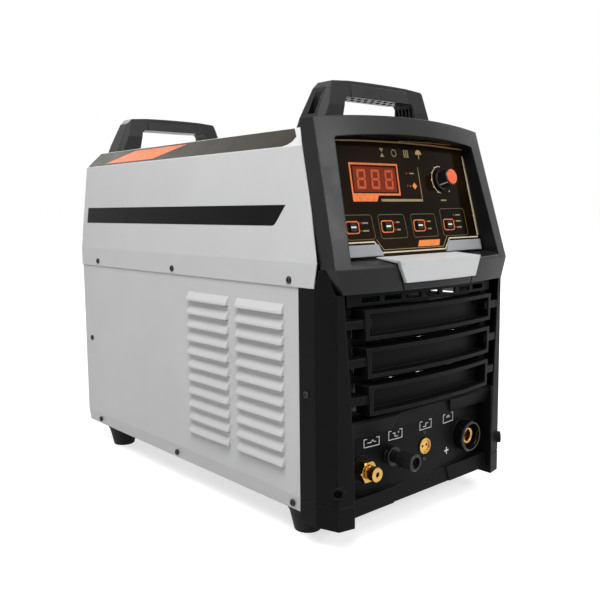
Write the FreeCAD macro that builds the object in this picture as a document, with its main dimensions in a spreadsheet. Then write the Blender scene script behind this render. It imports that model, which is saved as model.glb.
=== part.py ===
import FreeCAD, Part
import math
import os
import Sketcher

Vector = FreeCAD.Vector
document = FreeCAD.newDocument("plasma_cutter")
sheet = document.addObject("Spreadsheet::Sheet", "Sizes")


# Sizes: each one is a cell of the sheet, and sums of them stay bound to the sheet


class Size:
    """A length of the sheet or a sum of such lengths, with its value and its expression."""

    def __init__(self, value, text):
        self.value = value
        self.text = text

    def combine(self, other, sign, value, turned=False):
        other = as_size(other)
        first, second = (other, self) if turned else (self, other)
        return Size(value(first.value, second.value), f"({first.text} {sign} {second.text})")

    def __add__(self, other):
        return self.combine(other, "+", lambda a, b: a + b)

    def __radd__(self, other):
        return self.combine(other, "+", lambda a, b: a + b, True)

    def __sub__(self, other):
        return self.combine(other, "-", lambda a, b: a - b)

    def __rsub__(self, other):
        return self.combine(other, "-", lambda a, b: a - b, True)

    def __mul__(self, other):
        return self.combine(other, "*", lambda a, b: a * b)

    def __rmul__(self, other):
        return self.combine(other, "*", lambda a, b: a * b, True)

    def __truediv__(self, other):
        return self.combine(other, "/", lambda a, b: a / b)

    def __neg__(self):
        return Size(-self.value, f"(0 - {self.text})")


def as_size(amount):
    return amount if isinstance(amount, Size) else Size(float(amount), f"{float(amount):.4f}")


def size(alias, amount):
    """Writes a driving dimension into the next cell of the sheet."""
    size.row += 1
    sheet.set(f"A{size.row}", alias)
    sheet.set(f"B{size.row}", str(amount))
    sheet.setAlias(f"B{size.row}", alias)
    return Size(float(amount), f"Sizes.{alias}")


size.row = 0

# Case
half_width = size("half_width", 151)
case_front = size("case_front", -242.3)
case_length = size("case_length", 507)
foot_height = size("foot_height", 30)
fold_rise = size("fold_rise", 18)
fold_inset = size("fold_inset", 2.5)
skirt_top = size("skirt_top", 303)
skirt_band = size("skirt_band", 26)
skirt_lap = size("skirt_lap", 1.4)
side_rise = size("side_rise", 122)
side_lean = size("side_lean", 13.8)
shoulder_rise = size("shoulder_rise", 22.6)
shoulder_run = size("shoulder_run", 24.5)
sheet_steel = size("sheet_steel", 1.2)
cover_overhang = size("cover_overhang", 29.6)
clearance = size("clearance", 0.3)
running_clearance = size("running_clearance", 0.05)

fold_height = foot_height + fold_rise
tray_floor = foot_height + sheet_steel
skirt_half = half_width + skirt_lap
skirt_low = skirt_top - skirt_band
bend_half = skirt_half - side_lean
bend_height = skirt_top + side_rise
roof_half = bend_half - shoulder_run
roof_height = bend_height + shoulder_rise
case_rear = case_front + case_length

# Louvres in the side panels
louvre_above_fold = size("louvre_above_fold", 28)
louvre_pitch = size("louvre_pitch", 17)
louvre_count = 11
louvre_length = size("louvre_length", 84)
louvre_out = size("louvre_out", 5)
louvre_rise = size("louvre_rise", 11)
louvre_front = size("louvre_front", 24.6)
louvre_gap = size("louvre_gap", 17.5)
louvre_low = fold_height + louvre_above_fold

# Front frame and grille
frame_proud = size("frame_proud", 0.6)
facet_width = size("facet_width", 8.7)
facet_depth = size("facet_depth", 25.2)
corner_depth = size("corner_depth", 51.3)
bow_radius = size("bow_radius", 700)
bow_apex = size("bow_apex", 66)
moulding_wall = size("moulding_wall", 3)
leg_low = size("leg_low", 22)
leg_width = size("leg_width", 19.9)
leg_groove = size("leg_groove", 47)
vent_low = size("vent_low", 131)
recess_apex = size("recess_apex", 42)
rail_low = size("rail_low", 28)
rail_front = size("rail_front", 46)
rail_middle_half = size("rail_middle_half", 48)
blade_low = size("blade_low", 141)
blade_pitch = size("blade_pitch", 40.5)
blade_height = size("blade_height", 32)
blade_depth = size("blade_depth", 21)
blade_rim = size("blade_rim", 4)
blade_inset = size("blade_inset", 10)
blade_low_inset = size("blade_low_inset", 19)
blade_top_inset = size("blade_top_inset", 11.4)

frame_half = half_width + frame_proud
corner_half = frame_half - facet_width
leg_half = corner_half - leg_width
vent_low_half = leg_half + 3
vent_top_half = leg_half + 13
blade_half = leg_half - blade_inset
blade_low_half = leg_half - blade_low_inset
blade_top_half = leg_half - blade_top_inset

# Front head
head_drop = size("head_drop", 31.5)
bezel_width = size("bezel_width", 20.2)
shelf_rise = size("shelf_rise", 2)
chin_apex = size("chin_apex", 70.1)

head_low = skirt_top - head_drop
head_low_half = skirt_half - 3.2
head_top_half = bend_half + 0.6
shelf_height = skirt_top + shelf_rise
window_bottom_half = head_low_half - bezel_width
window_top_half = head_top_half - bezel_width - 0.5

# Control panel, in its own leaning plane
panel_lean = size("panel_lean", 12)
panel_foot_depth = size("panel_foot_depth", 29.2)
panel_foot_rise = size("panel_foot_rise", 19.4)
panel_low = size("panel_low", -17)
panel_high = size("panel_high", 118)
panel_thick = size("panel_thick", 2.5)
button_pitch = size("button_pitch", 55.2)
button_first = size("button_first", -96.1)
button_height = size("button_height", 16.5)
button_wide = size("button_wide", 9)
knob_across = size("knob_across", 66.9)
knob_up = size("knob_up", 71.2)
knob_radius = size("knob_radius", 12.5)
knob_tip_radius = size("knob_tip_radius", 9.6)
knob_height = size("knob_height", 16.5)
shaft_radius = size("shaft_radius", 3)

panel_half = window_bottom_half + 2
panel_foot_height = skirt_top + panel_foot_rise

# Handles
handle_inset = size("handle_inset", 11.1)
handle_leg = size("handle_leg", 37)
handle_shoulder = size("handle_shoulder", 21)
handle_bar_half = size("handle_bar_half", 55)
handle_depth = size("handle_depth", 35)
handle_rise = size("handle_rise", 55)
handle_bar = size("handle_bar", 18)
grip_half = size("grip_half", 48)
front_handle_place = size("front_handle_place", 21.5)
rear_handle_inset = size("rear_handle_inset", 1)

handle_base_half = roof_half - handle_inset
handle_inner_half = handle_base_half - handle_leg
handle_top_half = handle_base_half - handle_shoulder
rear_handle_place = case_length - handle_depth - rear_handle_inset

# Feet and fasteners
foot_inset = size("foot_inset", 26.6)
foot_first = size("foot_first", 18)
foot_rear_inset = size("foot_rear_inset", 62)
foot_top_radius = size("foot_top_radius", 23)
foot_low_radius = size("foot_low_radius", 15.5)
screw_radius = size("screw_radius", 2)
screw_head = size("screw_head", 4)

foot_across = half_width - foot_inset
foot_second = case_length - foot_rear_inset

# Front connectors
torch_across = size("torch_across", -95)
torch_height = size("torch_height", 75.5)
torch_boss = size("torch_boss", 15)
torch_thread_radius = size("torch_thread_radius", 8)
pilot_across = size("pilot_across", -53)
pilot_height = size("pilot_height", 83)
pilot_stud_radius = size("pilot_stud_radius", 4)
pilot_knob_radius = size("pilot_knob_radius", 9.5)
trigger_across = size("trigger_across", 6.2)
trigger_height = size("trigger_height", 81)
trigger_radius = size("trigger_radius", 9.6)
trigger_screw_rise = size("trigger_screw_rise", 16)
output_across = size("output_across", 84)
output_height = size("output_height", 78)
output_boss = size("output_boss", 20.5)
output_pin_radius = size("output_pin_radius", 6.55)
output_insert_radius = size("output_insert_radius", 10)

# Rear
rear_inset = size("rear_inset", 10)
fan_across = size("fan_across", -20)
fan_height = size("fan_height", 150)
fan_half = size("fan_half", 60)
fan_radius = size("fan_radius", 55)
fan_depth = size("fan_depth", 38)
fan_screws = size("fan_screws", 52.5)
breaker_across = size("breaker_across", -70)
breaker_height = size("breaker_height", 340)
lever_pivot = size("lever_pivot", 3.5)
gland_across = size("gland_across", 5)
gland_height = size("gland_height", 335)
earth_across = size("earth_across", 105)
earth_height = size("earth_height", 60)
regulator_across = size("regulator_across", 90)
regulator_height = size("regulator_height", 300)
regulator_out = size("regulator_out", 27)
pipe_drop = size("pipe_drop", 96)

rear_wall = case_rear - rear_inset
pipe_across = regulator_across + 39.6
outlet_height = regulator_height - 4

# Inside
shelf_level = size("shelf_level", 232)
board_standoff = size("board_standoff", 8)
board_level = shelf_level + board_standoff
board_pillar_places = (58, 292)


# Helpers that bind a property to the sheet


def bind(thing, path, amount):
    """Binds one property of an object to an expression of the sheet."""
    thing.setExpression(path, as_size(amount).text)


def finish(thing, name):
    """Gives a sub-part its name and puts it on the list of files to write."""
    thing.Label = name
    finish.named.append(thing)
    return thing


finish.named = []


def move(thing, x=0, y=0, z=0):
    for axis, amount in zip("xyz", (x, y, z)):
        bind(thing, f"Placement.Base.{axis}", amount)
    return thing


def turn(thing, axis, degrees):
    """Turns an object about an axis through its own base point."""
    thing.Placement.Rotation = FreeCAD.Rotation(Vector(*axis), 1)
    bind(thing, "Placement.Rotation.Angle", degrees)
    return thing


directions = {"X": ((0, 1, 0), 90), "-X": ((0, 1, 0), -90), "Y": ((1, 0, 0), -90), "-Y": ((1, 0, 0), 90)}


def aim(thing, direction):
    if direction in directions:
        axis, degrees = directions[direction]
        turn(thing, axis, degrees)
    return thing


def box(x, y, z, wide, deep, high):
    """A box from three low corners and three lengths."""
    thing = document.addObject("Part::Box", "box")
    bind(thing, "Length", wide)
    bind(thing, "Width", deep)
    bind(thing, "Height", high)
    return move(thing, x, y, z)


def rod(x, y, z, radius, length, direction="Z"):
    """A cylinder from the centre of one end along a direction."""
    thing = document.addObject("Part::Cylinder", "rod")
    bind(thing, "Radius", radius)
    bind(thing, "Height", length)
    return move(aim(thing, direction), x, y, z)


def cone(x, y, z, first_radius, second_radius, length, direction="Z"):
    thing = document.addObject("Part::Cone", "cone")
    bind(thing, "Radius1", first_radius)
    bind(thing, "Radius2", second_radius)
    bind(thing, "Height", length)
    return move(aim(thing, direction), x, y, z)


def hexagon(x, y, z, across_flats, length, direction="Z"):
    thing = document.addObject("Part::Prism", "hexagon")
    thing.Polygon = 6
    bind(thing, "Circumradius", as_size(across_flats) / math.sqrt(3))
    bind(thing, "Height", length)
    return move(aim(thing, direction), x, y, z)


def joined(*pieces):
    thing = document.addObject("Part::MultiFuse", "joined")
    thing.Shapes = list(pieces)
    return thing


def cut(base, *tools):
    thing = document.addObject("Part::Cut", "cut")
    thing.Base = base
    thing.Tool = tools[0] if len(tools) == 1 else joined(*tools)
    return thing


def shared(base, tool):
    thing = document.addObject("Part::Common", "shared")
    thing.Base = base
    thing.Tool = tool
    return thing


def group(*pieces):
    """Several separate solids in one sub-part, such as a set of screws."""
    thing = document.addObject("Part::Compound", "group")
    thing.Links = list(pieces)
    return thing


def mirror_x(thing):
    other = document.addObject("Part::Mirroring", "mirrored")
    other.Source = thing
    other.Normal = Vector(1, 0, 0)
    return other


# Helpers for bodies made of sketches


def new_body():
    return document.addObject("PartDesign::Body", "Body")


def arc_middle(start, end, radius):
    """The middle of the arc from start to end: a positive radius bulges to the right of the way."""
    chord = end - start
    half = chord.Length / 2
    rise = abs(radius) - math.sqrt(radius * radius - half * half)
    side = Vector(chord.y, -chord.x, 0).normalize() * math.copysign(rise, radius)
    return (start + end) / 2 + side


def draw_outline(sketch, points):
    """Draws a closed outline: each point is (x, y), or (x, y, radius) for an arc to the next point."""
    first = sketch.GeometryCount
    corners = [(as_size(point[0]), as_size(point[1])) for point in points]
    bulges = [as_size(point[2]) if len(point) == 3 else None for point in points]
    runs_forward = [bulge is None or bulge.value > 0 for bulge in bulges]
    for index, bulge in enumerate(bulges):
        pair = (corners[index], corners[(index + 1) % len(points)])
        start, end = [Vector(x.value, y.value, 0) for x, y in pair]
        if bulge is None:
            curve = Part.LineSegment(start, end)
        elif runs_forward[index]:
            curve = Part.Arc(start, arc_middle(start, end, bulge.value), end)
        else:
            curve = Part.Arc(end, arc_middle(start, end, bulge.value), start)
        sketch.addGeometry(curve, False)
    for index, corner in enumerate(corners):
        following = (index + 1) % len(points)
        end_of_this = 2 if runs_forward[index] else 1
        start_of_next = 1 if runs_forward[following] else 2
        start_of_this = 1 if runs_forward[index] else 2
        sketch.addConstraint(
            Sketcher.Constraint("Coincident", first + index, end_of_this, first + following, start_of_next))
        for kind, amount in zip(("DistanceX", "DistanceY"), corner):
            number = sketch.addConstraint(
                Sketcher.Constraint(kind, -1, 1, first + index, start_of_this, amount.value))
            bind(sketch, f"Constraints[{number}]", amount)
        if bulges[index] is not None:
            radius = abs(bulges[index].value)
            number = sketch.addConstraint(Sketcher.Constraint("Radius", first + index, radius))
            sketch.setExpression(f"Constraints[{number}]", f"abs({bulges[index].text})")


def draw_circle(sketch, x, y, radius):
    index = sketch.GeometryCount
    x, y, radius = as_size(x), as_size(y), as_size(radius)
    sketch.addGeometry(Part.Circle(Vector(x.value, y.value, 0), Vector(0, 0, 1), radius.value), False)
    for kind, amount in zip(("DistanceX", "DistanceY"), (x, y)):
        number = sketch.addConstraint(Sketcher.Constraint(kind, -1, 1, index, 3, amount.value))
        bind(sketch, f"Constraints[{number}]", amount)
    number = sketch.addConstraint(Sketcher.Constraint("Radius", index, radius.value))
    bind(sketch, f"Constraints[{number}]", radius)


planes = {"top": "XY_Plane", "front": "XZ_Plane", "side": "YZ_Plane"}


def draw(body, view, level, *loops):
    """A sketch in one of a body's planes. A loop is a list of points, or (x, y, radius) for a circle."""
    sketch = body.newObject("Sketcher::SketchObject", "Sketch")
    plane = [part for part in body.Origin.OriginFeatures if part.Role == planes[view]][0]
    sketch.AttachmentSupport = [(plane, "")]
    sketch.MapMode = "FlatFace"
    bind(sketch, "AttachmentOffset.Base.z", -as_size(level) if view == "front" else level)
    for loop in loops:
        if isinstance(loop, list):
            draw_outline(sketch, loop)
        else:
            draw_circle(sketch, *loop)
    return sketch


def pad(body, view, low, high, *loops):
    """Material between two levels across the view's plane."""
    low, high = as_size(low), as_size(high)
    start = high if view == "front" else low
    feature = body.newObject("PartDesign::Pad", "Pad")
    feature.Profile = draw(body, view, start, *loops)
    bind(feature, "Length", high - low)
    return feature


def pocket(body, view, low, high, *loops):
    """Takes material away between two levels across the view's plane."""
    low, high = as_size(low), as_size(high)
    start = high if view == "front" else low
    feature = body.newObject("PartDesign::Pocket", "Pocket")
    feature.Profile = draw(body, view, start, *loops)
    feature.Reversed = True
    bind(feature, "Length", high - low)
    return feature


def loft(body, low, low_loop, high, high_loop):
    """Material between an outline at one height and another at a second height."""
    sections = [draw(body, "top", low, low_loop), draw(body, "top", high, high_loop)]
    feature = body.newObject("PartDesign::AdditiveLoft", "Loft")
    feature.Profile = sections[0]
    feature.Sections = [sections[1]]
    feature.Ruled = True
    return feature


def repeated(body, originals, role, count, pitch):
    """Repeats features in a straight row along one of the body's axes."""
    pattern = body.newObject("PartDesign::LinearPattern", "Pattern")
    axis = [part for part in body.Origin.OriginFeatures if part.Role == role][0]
    pattern.Originals = originals
    pattern.Direction = (axis, [""])
    pattern.Occurrences = count
    bind(pattern, "Length", as_size(pitch) * (count - 1))
    body.Tip = pattern
    return pattern


def spun(body, view, axis, *loops):
    """Material turned about a sketch's own horizontal (H) or vertical (V) axis."""
    feature = body.newObject("PartDesign::Revolution", "Revolution")
    profile = draw(body, view, 0, *loops)
    feature.Profile = profile
    feature.ReferenceAxis = (profile, [f"{axis}_Axis"])
    feature.Angle = 360
    return feature


def turned_body(*loops):
    """A body turned about its own Y axis: profile points are (y, radius)."""
    body = new_body()
    spun(body, "side", "H", *loops)
    return body


def spaced_round(body, originals, role, count):
    """Repeats features round one of the body's axes."""
    pattern = body.newObject("PartDesign::PolarPattern", "Pattern")
    axis = [part for part in body.Origin.OriginFeatures if part.Role == role][0]
    pattern.Originals = originals
    pattern.Axis = (axis, [""])
    pattern.Angle = 360
    pattern.Occurrences = count
    body.Tip = pattern
    return pattern


def rounded(body, radius, wanted):
    """Fillets the edges of a body's tip that a test picks out."""
    document.recompute()
    tip = body.Tip
    names = [f"Edge{number + 1}" for number, edge in enumerate(tip.Shape.Edges) if wanted(edge)]
    feature = body.newObject("PartDesign::Fillet", "Fillet")
    feature.Base = (tip, names)
    bind(feature, "Radius", radius)
    return feature


def bevelled(body, amount, wanted):
    document.recompute()
    tip = body.Tip
    names = [f"Edge{number + 1}" for number, edge in enumerate(tip.Shape.Edges) if wanted(edge)]
    feature = body.newObject("PartDesign::Chamfer", "Chamfer")
    feature.Base = (tip, names)
    bind(feature, "Size", amount)
    return feature


def runs_along(edge, axis):
    """True for a straight edge that runs along x, y or z."""
    if not isinstance(edge.Curve, Part.Line):
        return False
    return abs(getattr(edge.Curve.Direction, axis)) > 0.999


def on_panel(thing, x=0, up=0, out=0):
    """Places a piece in the control panel's leaning plane: across, up along it and out of it."""
    turn(thing, (1, 0, 0), -panel_lean)
    lean_sine = f"sin({panel_lean.text})"
    lean_cosine = f"cos({panel_lean.text})"
    x, up, out = as_size(x), as_size(up), as_size(out)
    foot = case_front - panel_foot_depth
    bind(thing, "Placement.Base.x", x)
    thing.setExpression("Placement.Base.y",
                        f"{foot.text} + {up.text} * {lean_sine} - {out.text} * {lean_cosine}")
    thing.setExpression(
        "Placement.Base.z",
        f"{panel_foot_height.text} + {up.text} * {lean_cosine} + {out.text} * {lean_sine}")
    return thing


def mirrored_points(points):
    """Closes a half outline, given from the middle outwards, with its mirror image."""
    return points + [(-as_size(point[0]),) + tuple(point[1:]) for point in reversed(points)]


# Base tray of folded sheet, the root of the assembly


def make_base_tray():
    body = new_body()
    wall = sheet_steel
    outer = half_width - wall - clearance - fold_inset
    section = [(-outer, 58), (-outer, foot_height), (outer, foot_height), (outer, 58),
               (outer - wall, 58), (outer - wall, foot_height + wall),
               (-outer + wall, foot_height + wall), (-outer + wall, 58)]
    pad(body, "front", case_front + 2, rear_wall - wall - clearance, section)
    for across in (-1, 1):
        for along in (foot_first, foot_second):
            hole = (foot_across * across, case_front + along, 2.8)
            pocket(body, "top", foot_height - 1, foot_height + 3, hole)
    slot = [(-40, case_front + 60), (40, case_front + 60), (40, case_front + 66), (-40, case_front + 66)]
    first = pocket(body, "top", foot_height - 1, foot_height + 3, slot)
    repeated(body, [first], "Y_Axis", 10, 14)
    for side in (-1, 1):
        for along, height in panel_screw_places()[:3]:
            hole = (case_front + along, height, screw_radius + 0.2)
            pocket(body, "side", (outer + 2) * side - 4, (outer + 2) * side + 4, hole)
    return finish(body, "base_tray")


# Side panel with two columns of formed louvres


def make_side_panel():
    body = new_body()
    low = foot_height + 0.05
    top = skirt_top - 4
    outer = half_width
    inner = half_width - sheet_steel
    section = [(-outer + fold_inset, low), (-outer, fold_height), (-outer, top),
               (-inner, top), (-inner, fold_height), (-inner + fold_inset, low)]
    pad(body, "front", case_front, case_rear, section)
    flange = [(-inner, fold_height + 4), (-inner + 12, fold_height + 4), (-inner + 12, top), (-inner, top)]
    pad(body, "front", case_rear - sheet_steel, case_rear, flange)
    lip = sheet_steel * 1.1
    hood_face = outer + louvre_out
    hood = [(-inner, louvre_low), (-hood_face, louvre_low), (-hood_face + 0.6, louvre_low + 3),
            (-outer, louvre_low + louvre_rise), (-inner, louvre_low + louvre_rise)]
    hollow_top = louvre_low + louvre_rise - lip * 1.6
    hollow = [(-inner + 1, louvre_low - 1), (-hood_face + lip, louvre_low - 1),
              (-hood_face + lip + 0.4, louvre_low + 2.4), (-outer + 0.2, hollow_top),
              (-inner + 1, hollow_top)]
    for column in range(2):
        near = case_front + louvre_front + (louvre_length + louvre_gap) * column
        far = near + louvre_length
        hood_pad = pad(body, "front", near, far, hood)
        repeated(body, [hood_pad], "Z_Axis", louvre_count, louvre_pitch)
        hollow_pocket = pocket(body, "front", near + lip, far - lip, hollow)
        repeated(body, [hollow_pocket], "Z_Axis", louvre_count, louvre_pitch)
    for along, height in panel_screw_places() + skirt_screw_places():
        hole = (case_front + along, height, screw_radius + 0.2)
        pocket(body, "side", -outer - 3, -inner + 3, hole)
    return finish(body, "side_panel_left")


def skirt_screw_places():
    return [(13.6, 284), (246.3, 284), (454, 284)]


def panel_screw_places():
    return [(12.9, 38), (248.5, 38), (466.8, 38), (485.7, 163.7)]


# Top cover: an inverted trough with a skirt band, leaning sides and chamfered shoulders


def handle_foot_middle():
    return (handle_base_half + handle_inner_half) / 2


def handle_screw_places(place):
    middle = case_front + place + handle_depth / 2
    return [(handle_foot_middle() * side, middle + offset) for side in (-1, 1) for offset in (-11, 1)]


def make_top_cover():
    body = new_body()
    wall = sheet_steel
    outer = [(skirt_half, skirt_low), (skirt_half, skirt_top), (bend_half, bend_height),
             (roof_half, roof_height)]
    inner = [(skirt_half - wall, skirt_low), (skirt_half - wall, skirt_top - 0.3),
             (bend_half - wall, bend_height - 0.5), (roof_half - 0.6, roof_height - wall)]
    section = outer + [(-x, z) for x, z in reversed(outer)] + [(-x, z) for x, z in inner]
    section = section + [(x, z) for x, z in reversed(inner)]
    front = case_front - cover_overhang
    pad(body, "front", front, case_rear, section)
    slant = [(front - 1, skirt_top), (front, skirt_top), (case_front + 4, bend_height + 3),
             (case_front + 9.5, roof_height + 1), (front - 1, roof_height + 1)]
    pocket(body, "side", -skirt_half - 1, skirt_half + 1, slant)
    skirt_corner = [(front - 1, skirt_low - 1), (front + 5, skirt_low - 1), (front, skirt_top),
                    (front - 1, skirt_top)]
    pocket(body, "side", -skirt_half - 1, skirt_half + 1, skirt_corner)
    for along, height in skirt_screw_places():
        hole = (case_front + along, height, screw_radius + 0.2)
        pocket(body, "side", -skirt_half - 2, skirt_half + 2, hole)
    for place in (front_handle_place, rear_handle_place):
        for x, y in handle_screw_places(place):
            pocket(body, "top", roof_height - 3, roof_height + 2, (x, y, 2.7))
    return finish(body, "top_cover")


# Screws: each one is a domed head with a shank


def side_screw(x, y, z, outward, reach):
    """A screw whose head stands on the face at x, with its shank going inwards."""
    out, back = ("X", "-X") if outward > 0 else ("-X", "X")
    shank = rod(x, y, z, screw_radius, reach, back)
    rim = rod(x, y, z, screw_head, 0.9, out)
    crown = cone(x + 0.9 * outward, y, z, screw_head, screw_head - 1.5, 1.3, out)
    socket = hexagon(x + 0.8 * outward, y, z, 2.5, 3, out)
    return cut(joined(shank, rim, crown), socket)


def make_case_screws():
    places = [(skirt_half, along, height, 9) for along, height in skirt_screw_places()]
    places.extend((half_width, along, height, 9) for along, height in panel_screw_places()[:3])
    along, height = panel_screw_places()[3]
    places.append((half_width, along, height, 4))
    places.append((frame_half, -11.8, 164, 9))
    screws = []
    for side in (-1, 1):
        for face, along, height, reach in places:
            screws.append(side_screw(face * side, case_front + along, height, side, reach))
    return finish(group(*screws), "case_screws")


# Front frame: columns, corner legs, rails and the bowed connector panel


def bow_drop(half):
    """How far the bow falls back from its apex at a given half width."""
    radius, reach = bow_radius.value, as_size(half).value
    return radius - math.sqrt(radius * radius - reach * reach)


def bowed_band(half, apex, thickness):
    """Plan outline of a bowed wall, from its front arc to a second arc behind it."""
    front = case_front - apex + bow_drop(half)
    return [(-half, front, bow_radius), (half, front), (half, front + thickness, -bow_radius),
            (-half, front + thickness)]


def panel_face(x):
    """Depth of the connector panel's front face at a place across it."""
    return case_front - recess_apex + bow_drop(x)


def boss_face(x, radius):
    """Depth of the flat front of a round boss, just clear of the bowed face all round."""
    x, radius = as_size(x), as_size(radius)
    nearest = Size(abs(x.value) - radius.value, f"(abs({x.text}) - {radius.text})")
    return panel_face(nearest) - 0.3


def connector_holes():
    """Place across, height and radius of each hole in the connector panel."""
    holes = [(torch_across, torch_height, 8.2), (pilot_across, pilot_height, 6.2),
             (trigger_across, trigger_height, trigger_radius + clearance),
             (output_across, output_height, 14.2)]
    for way in (-1, 1):
        holes.append((trigger_across, trigger_height + trigger_screw_rise * way, 1.6))
    return holes


def frame_outline(inset):
    """Plan outline of the front frame, moved inwards all round."""
    return [(-frame_half + inset, case_front - clearance), (-frame_half + inset, case_front - facet_depth),
            (-corner_half + inset, case_front - corner_depth + inset, bow_radius),
            (corner_half - inset, case_front - corner_depth + inset),
            (frame_half - inset, case_front - facet_depth), (frame_half - inset, case_front - clearance)]


def make_front_frame():
    body = new_body()
    wall = moulding_wall
    pad(body, "top", leg_low, skirt_top - 7, frame_outline(0))
    hollow = frame_outline(wall)
    hollow[0] = (-frame_half + wall, case_front + 1)
    hollow[-1] = (frame_half - wall, case_front + 1)
    pocket(body, "top", leg_groove + 4, skirt_top - 6, hollow)
    leg_hollow = [(-frame_half + wall, case_front + 1), (-frame_half + wall, case_front - 20),
                  (frame_half - wall, case_front - 20), (frame_half - wall, case_front + 1)]
    pocket(body, "top", leg_low - 1, leg_groove + 5, leg_hollow)
    opening = [(-leg_half, leg_low - 1), (leg_half, leg_low - 1), (leg_half, 60), (vent_low_half, vent_low),
               (vent_top_half, head_low + 1), (-vent_top_half, head_low + 1), (-vent_low_half, vent_low),
               (-leg_half, 60)]
    pocket(body, "front", case_front - 80, case_front - 18, opening)
    chin_room = [(case_front - 90, head_low - 0.3), (case_front - 47, head_low - 0.3),
                 (case_front - 39.3, skirt_top - 6), (case_front - 90, skirt_top - 6)]
    pocket(body, "side", -frame_half - 1, frame_half + 1, chin_room)
    skirt_room = [(case_front - 30.4, skirt_top - 6), (case_front - 25.2, skirt_low - 0.5),
                  (case_front + 1, skirt_low - 0.5), (case_front + 1, skirt_top - 6)]
    for side in (-1, 1):
        pocket(body, "side", frame_half * side - 5, frame_half * side + 5, skirt_room)
    pad(body, "top", rail_low, vent_low + 4, bowed_band(leg_half + 1, recess_apex, wall))
    for side in (-1, 1):
        cheek = [(leg_half * side, case_front - 54), ((leg_half + 3) * side, case_front - 54),
                 ((leg_half + 3) * side, case_front - 29), (leg_half * side, case_front - 29)]
        pad(body, "top", rail_low, vent_low + 4, cheek)
    rail = [(case_front - rail_front, rail_low), (case_front - rail_front + 2, rail_low + 18),
            (case_front - 36, rail_low + 18), (case_front - 36, rail_low)]
    pad(body, "side", -leg_half - 1, leg_half + 1, rail)
    upper_rail = [(case_front - rail_front - 4, 130), (case_front - rail_front + 2, 114),
                  (case_front - 36, 114), (case_front - 36, 134), (case_front - 48, 134)]
    pad(body, "side", -leg_half - 1, leg_half + 1, upper_rail)
    relief = mirrored_points([(rail_middle_half - 2, rail_low + 19), (rail_middle_half + 3, rail_low - 1)])
    pocket(body, "front", case_front - rail_front - 5, case_front - 42.2, relief)
    upper_relief = mirrored_points([(rail_middle_half - 3.5, 131), (rail_middle_half + 5.5, 113)])
    pocket(body, "front", case_front - 60, case_front - 42.2, upper_relief)
    for low, low_reach, high, high_reach in ((rail_low, 44.4, rail_low + 18, 42.3), (115, 42.2, 134, 46)):
        slope = [(case_front - low_reach, low), (case_front - high_reach, high), (case_front - 36, high),
                 (case_front - 36, low)]
        pad(body, "side", -rail_middle_half - 5, rail_middle_half + 5, slope)
    behind_panel = [(-leg_half + 3, case_front - 39 + 4), (leg_half - 3, case_front - 39 + 4),
                    (leg_half - 3, case_front - 20), (-leg_half + 3, case_front - 20)]
    pocket(body, "top", leg_groove + 5, vent_low + 5, behind_panel)
    pad(body, "top", leg_groove + 5, vent_low + 4, bowed_band(leg_half + 1, recess_apex, wall))
    groove_outside = frame_outline(-2)
    groove_outside[0] = (-frame_half - 2, case_front + 1)
    groove_outside[-1] = (frame_half + 2, case_front + 1)
    groove_inside = frame_outline(0.9)
    pocket(body, "top", leg_groove, leg_groove + 1.2, groove_outside, groove_inside)
    bosses = ((torch_across, torch_height, torch_boss), (output_across, output_height, output_boss))
    for x, z, radius in bosses:
        pad(body, "front", boss_face(x, radius), panel_face(x) + 1, (x, z, radius))
    for hole in connector_holes():
        pocket(body, "front", case_front - 60, case_front - 25, hole)
    for side in (-1, 1):
        hole = (case_front - 11.8, 164, screw_radius + 0.2)
        pocket(body, "side", frame_half * side - 5, frame_half * side + 5, hole)
    return finish(add_corner_bosses(body), "front_frame")


def add_corner_bosses(frame):
    """Joins the holed bosses at the lower corners to the frame."""
    bosses = []
    holes = []
    for side in (-1, 1):
        x = (corner_half - 5.5) * side
        y = case_front - corner_depth + 6.5
        for radius, length, start, store in ((7.2, 11.5, 0, bosses), (4.6, 30, 4, holes)):
            piece = document.addObject("Part::Cylinder", "boss")
            bind(piece, "Radius", radius)
            bind(piece, "Height", length)
            piece.Placement.Rotation = FreeCAD.Rotation(Vector(0, 0, 1), Vector(side, -1, 0))
            along = start * math.sqrt(0.5)
            store.append(move(piece, x + along * side, y - along, 64.5))
    return cut(joined(frame, *bosses), *holes)


# Front grille: three bowed louvre blades with raised rims, their arms and the slotted top rail


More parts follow.
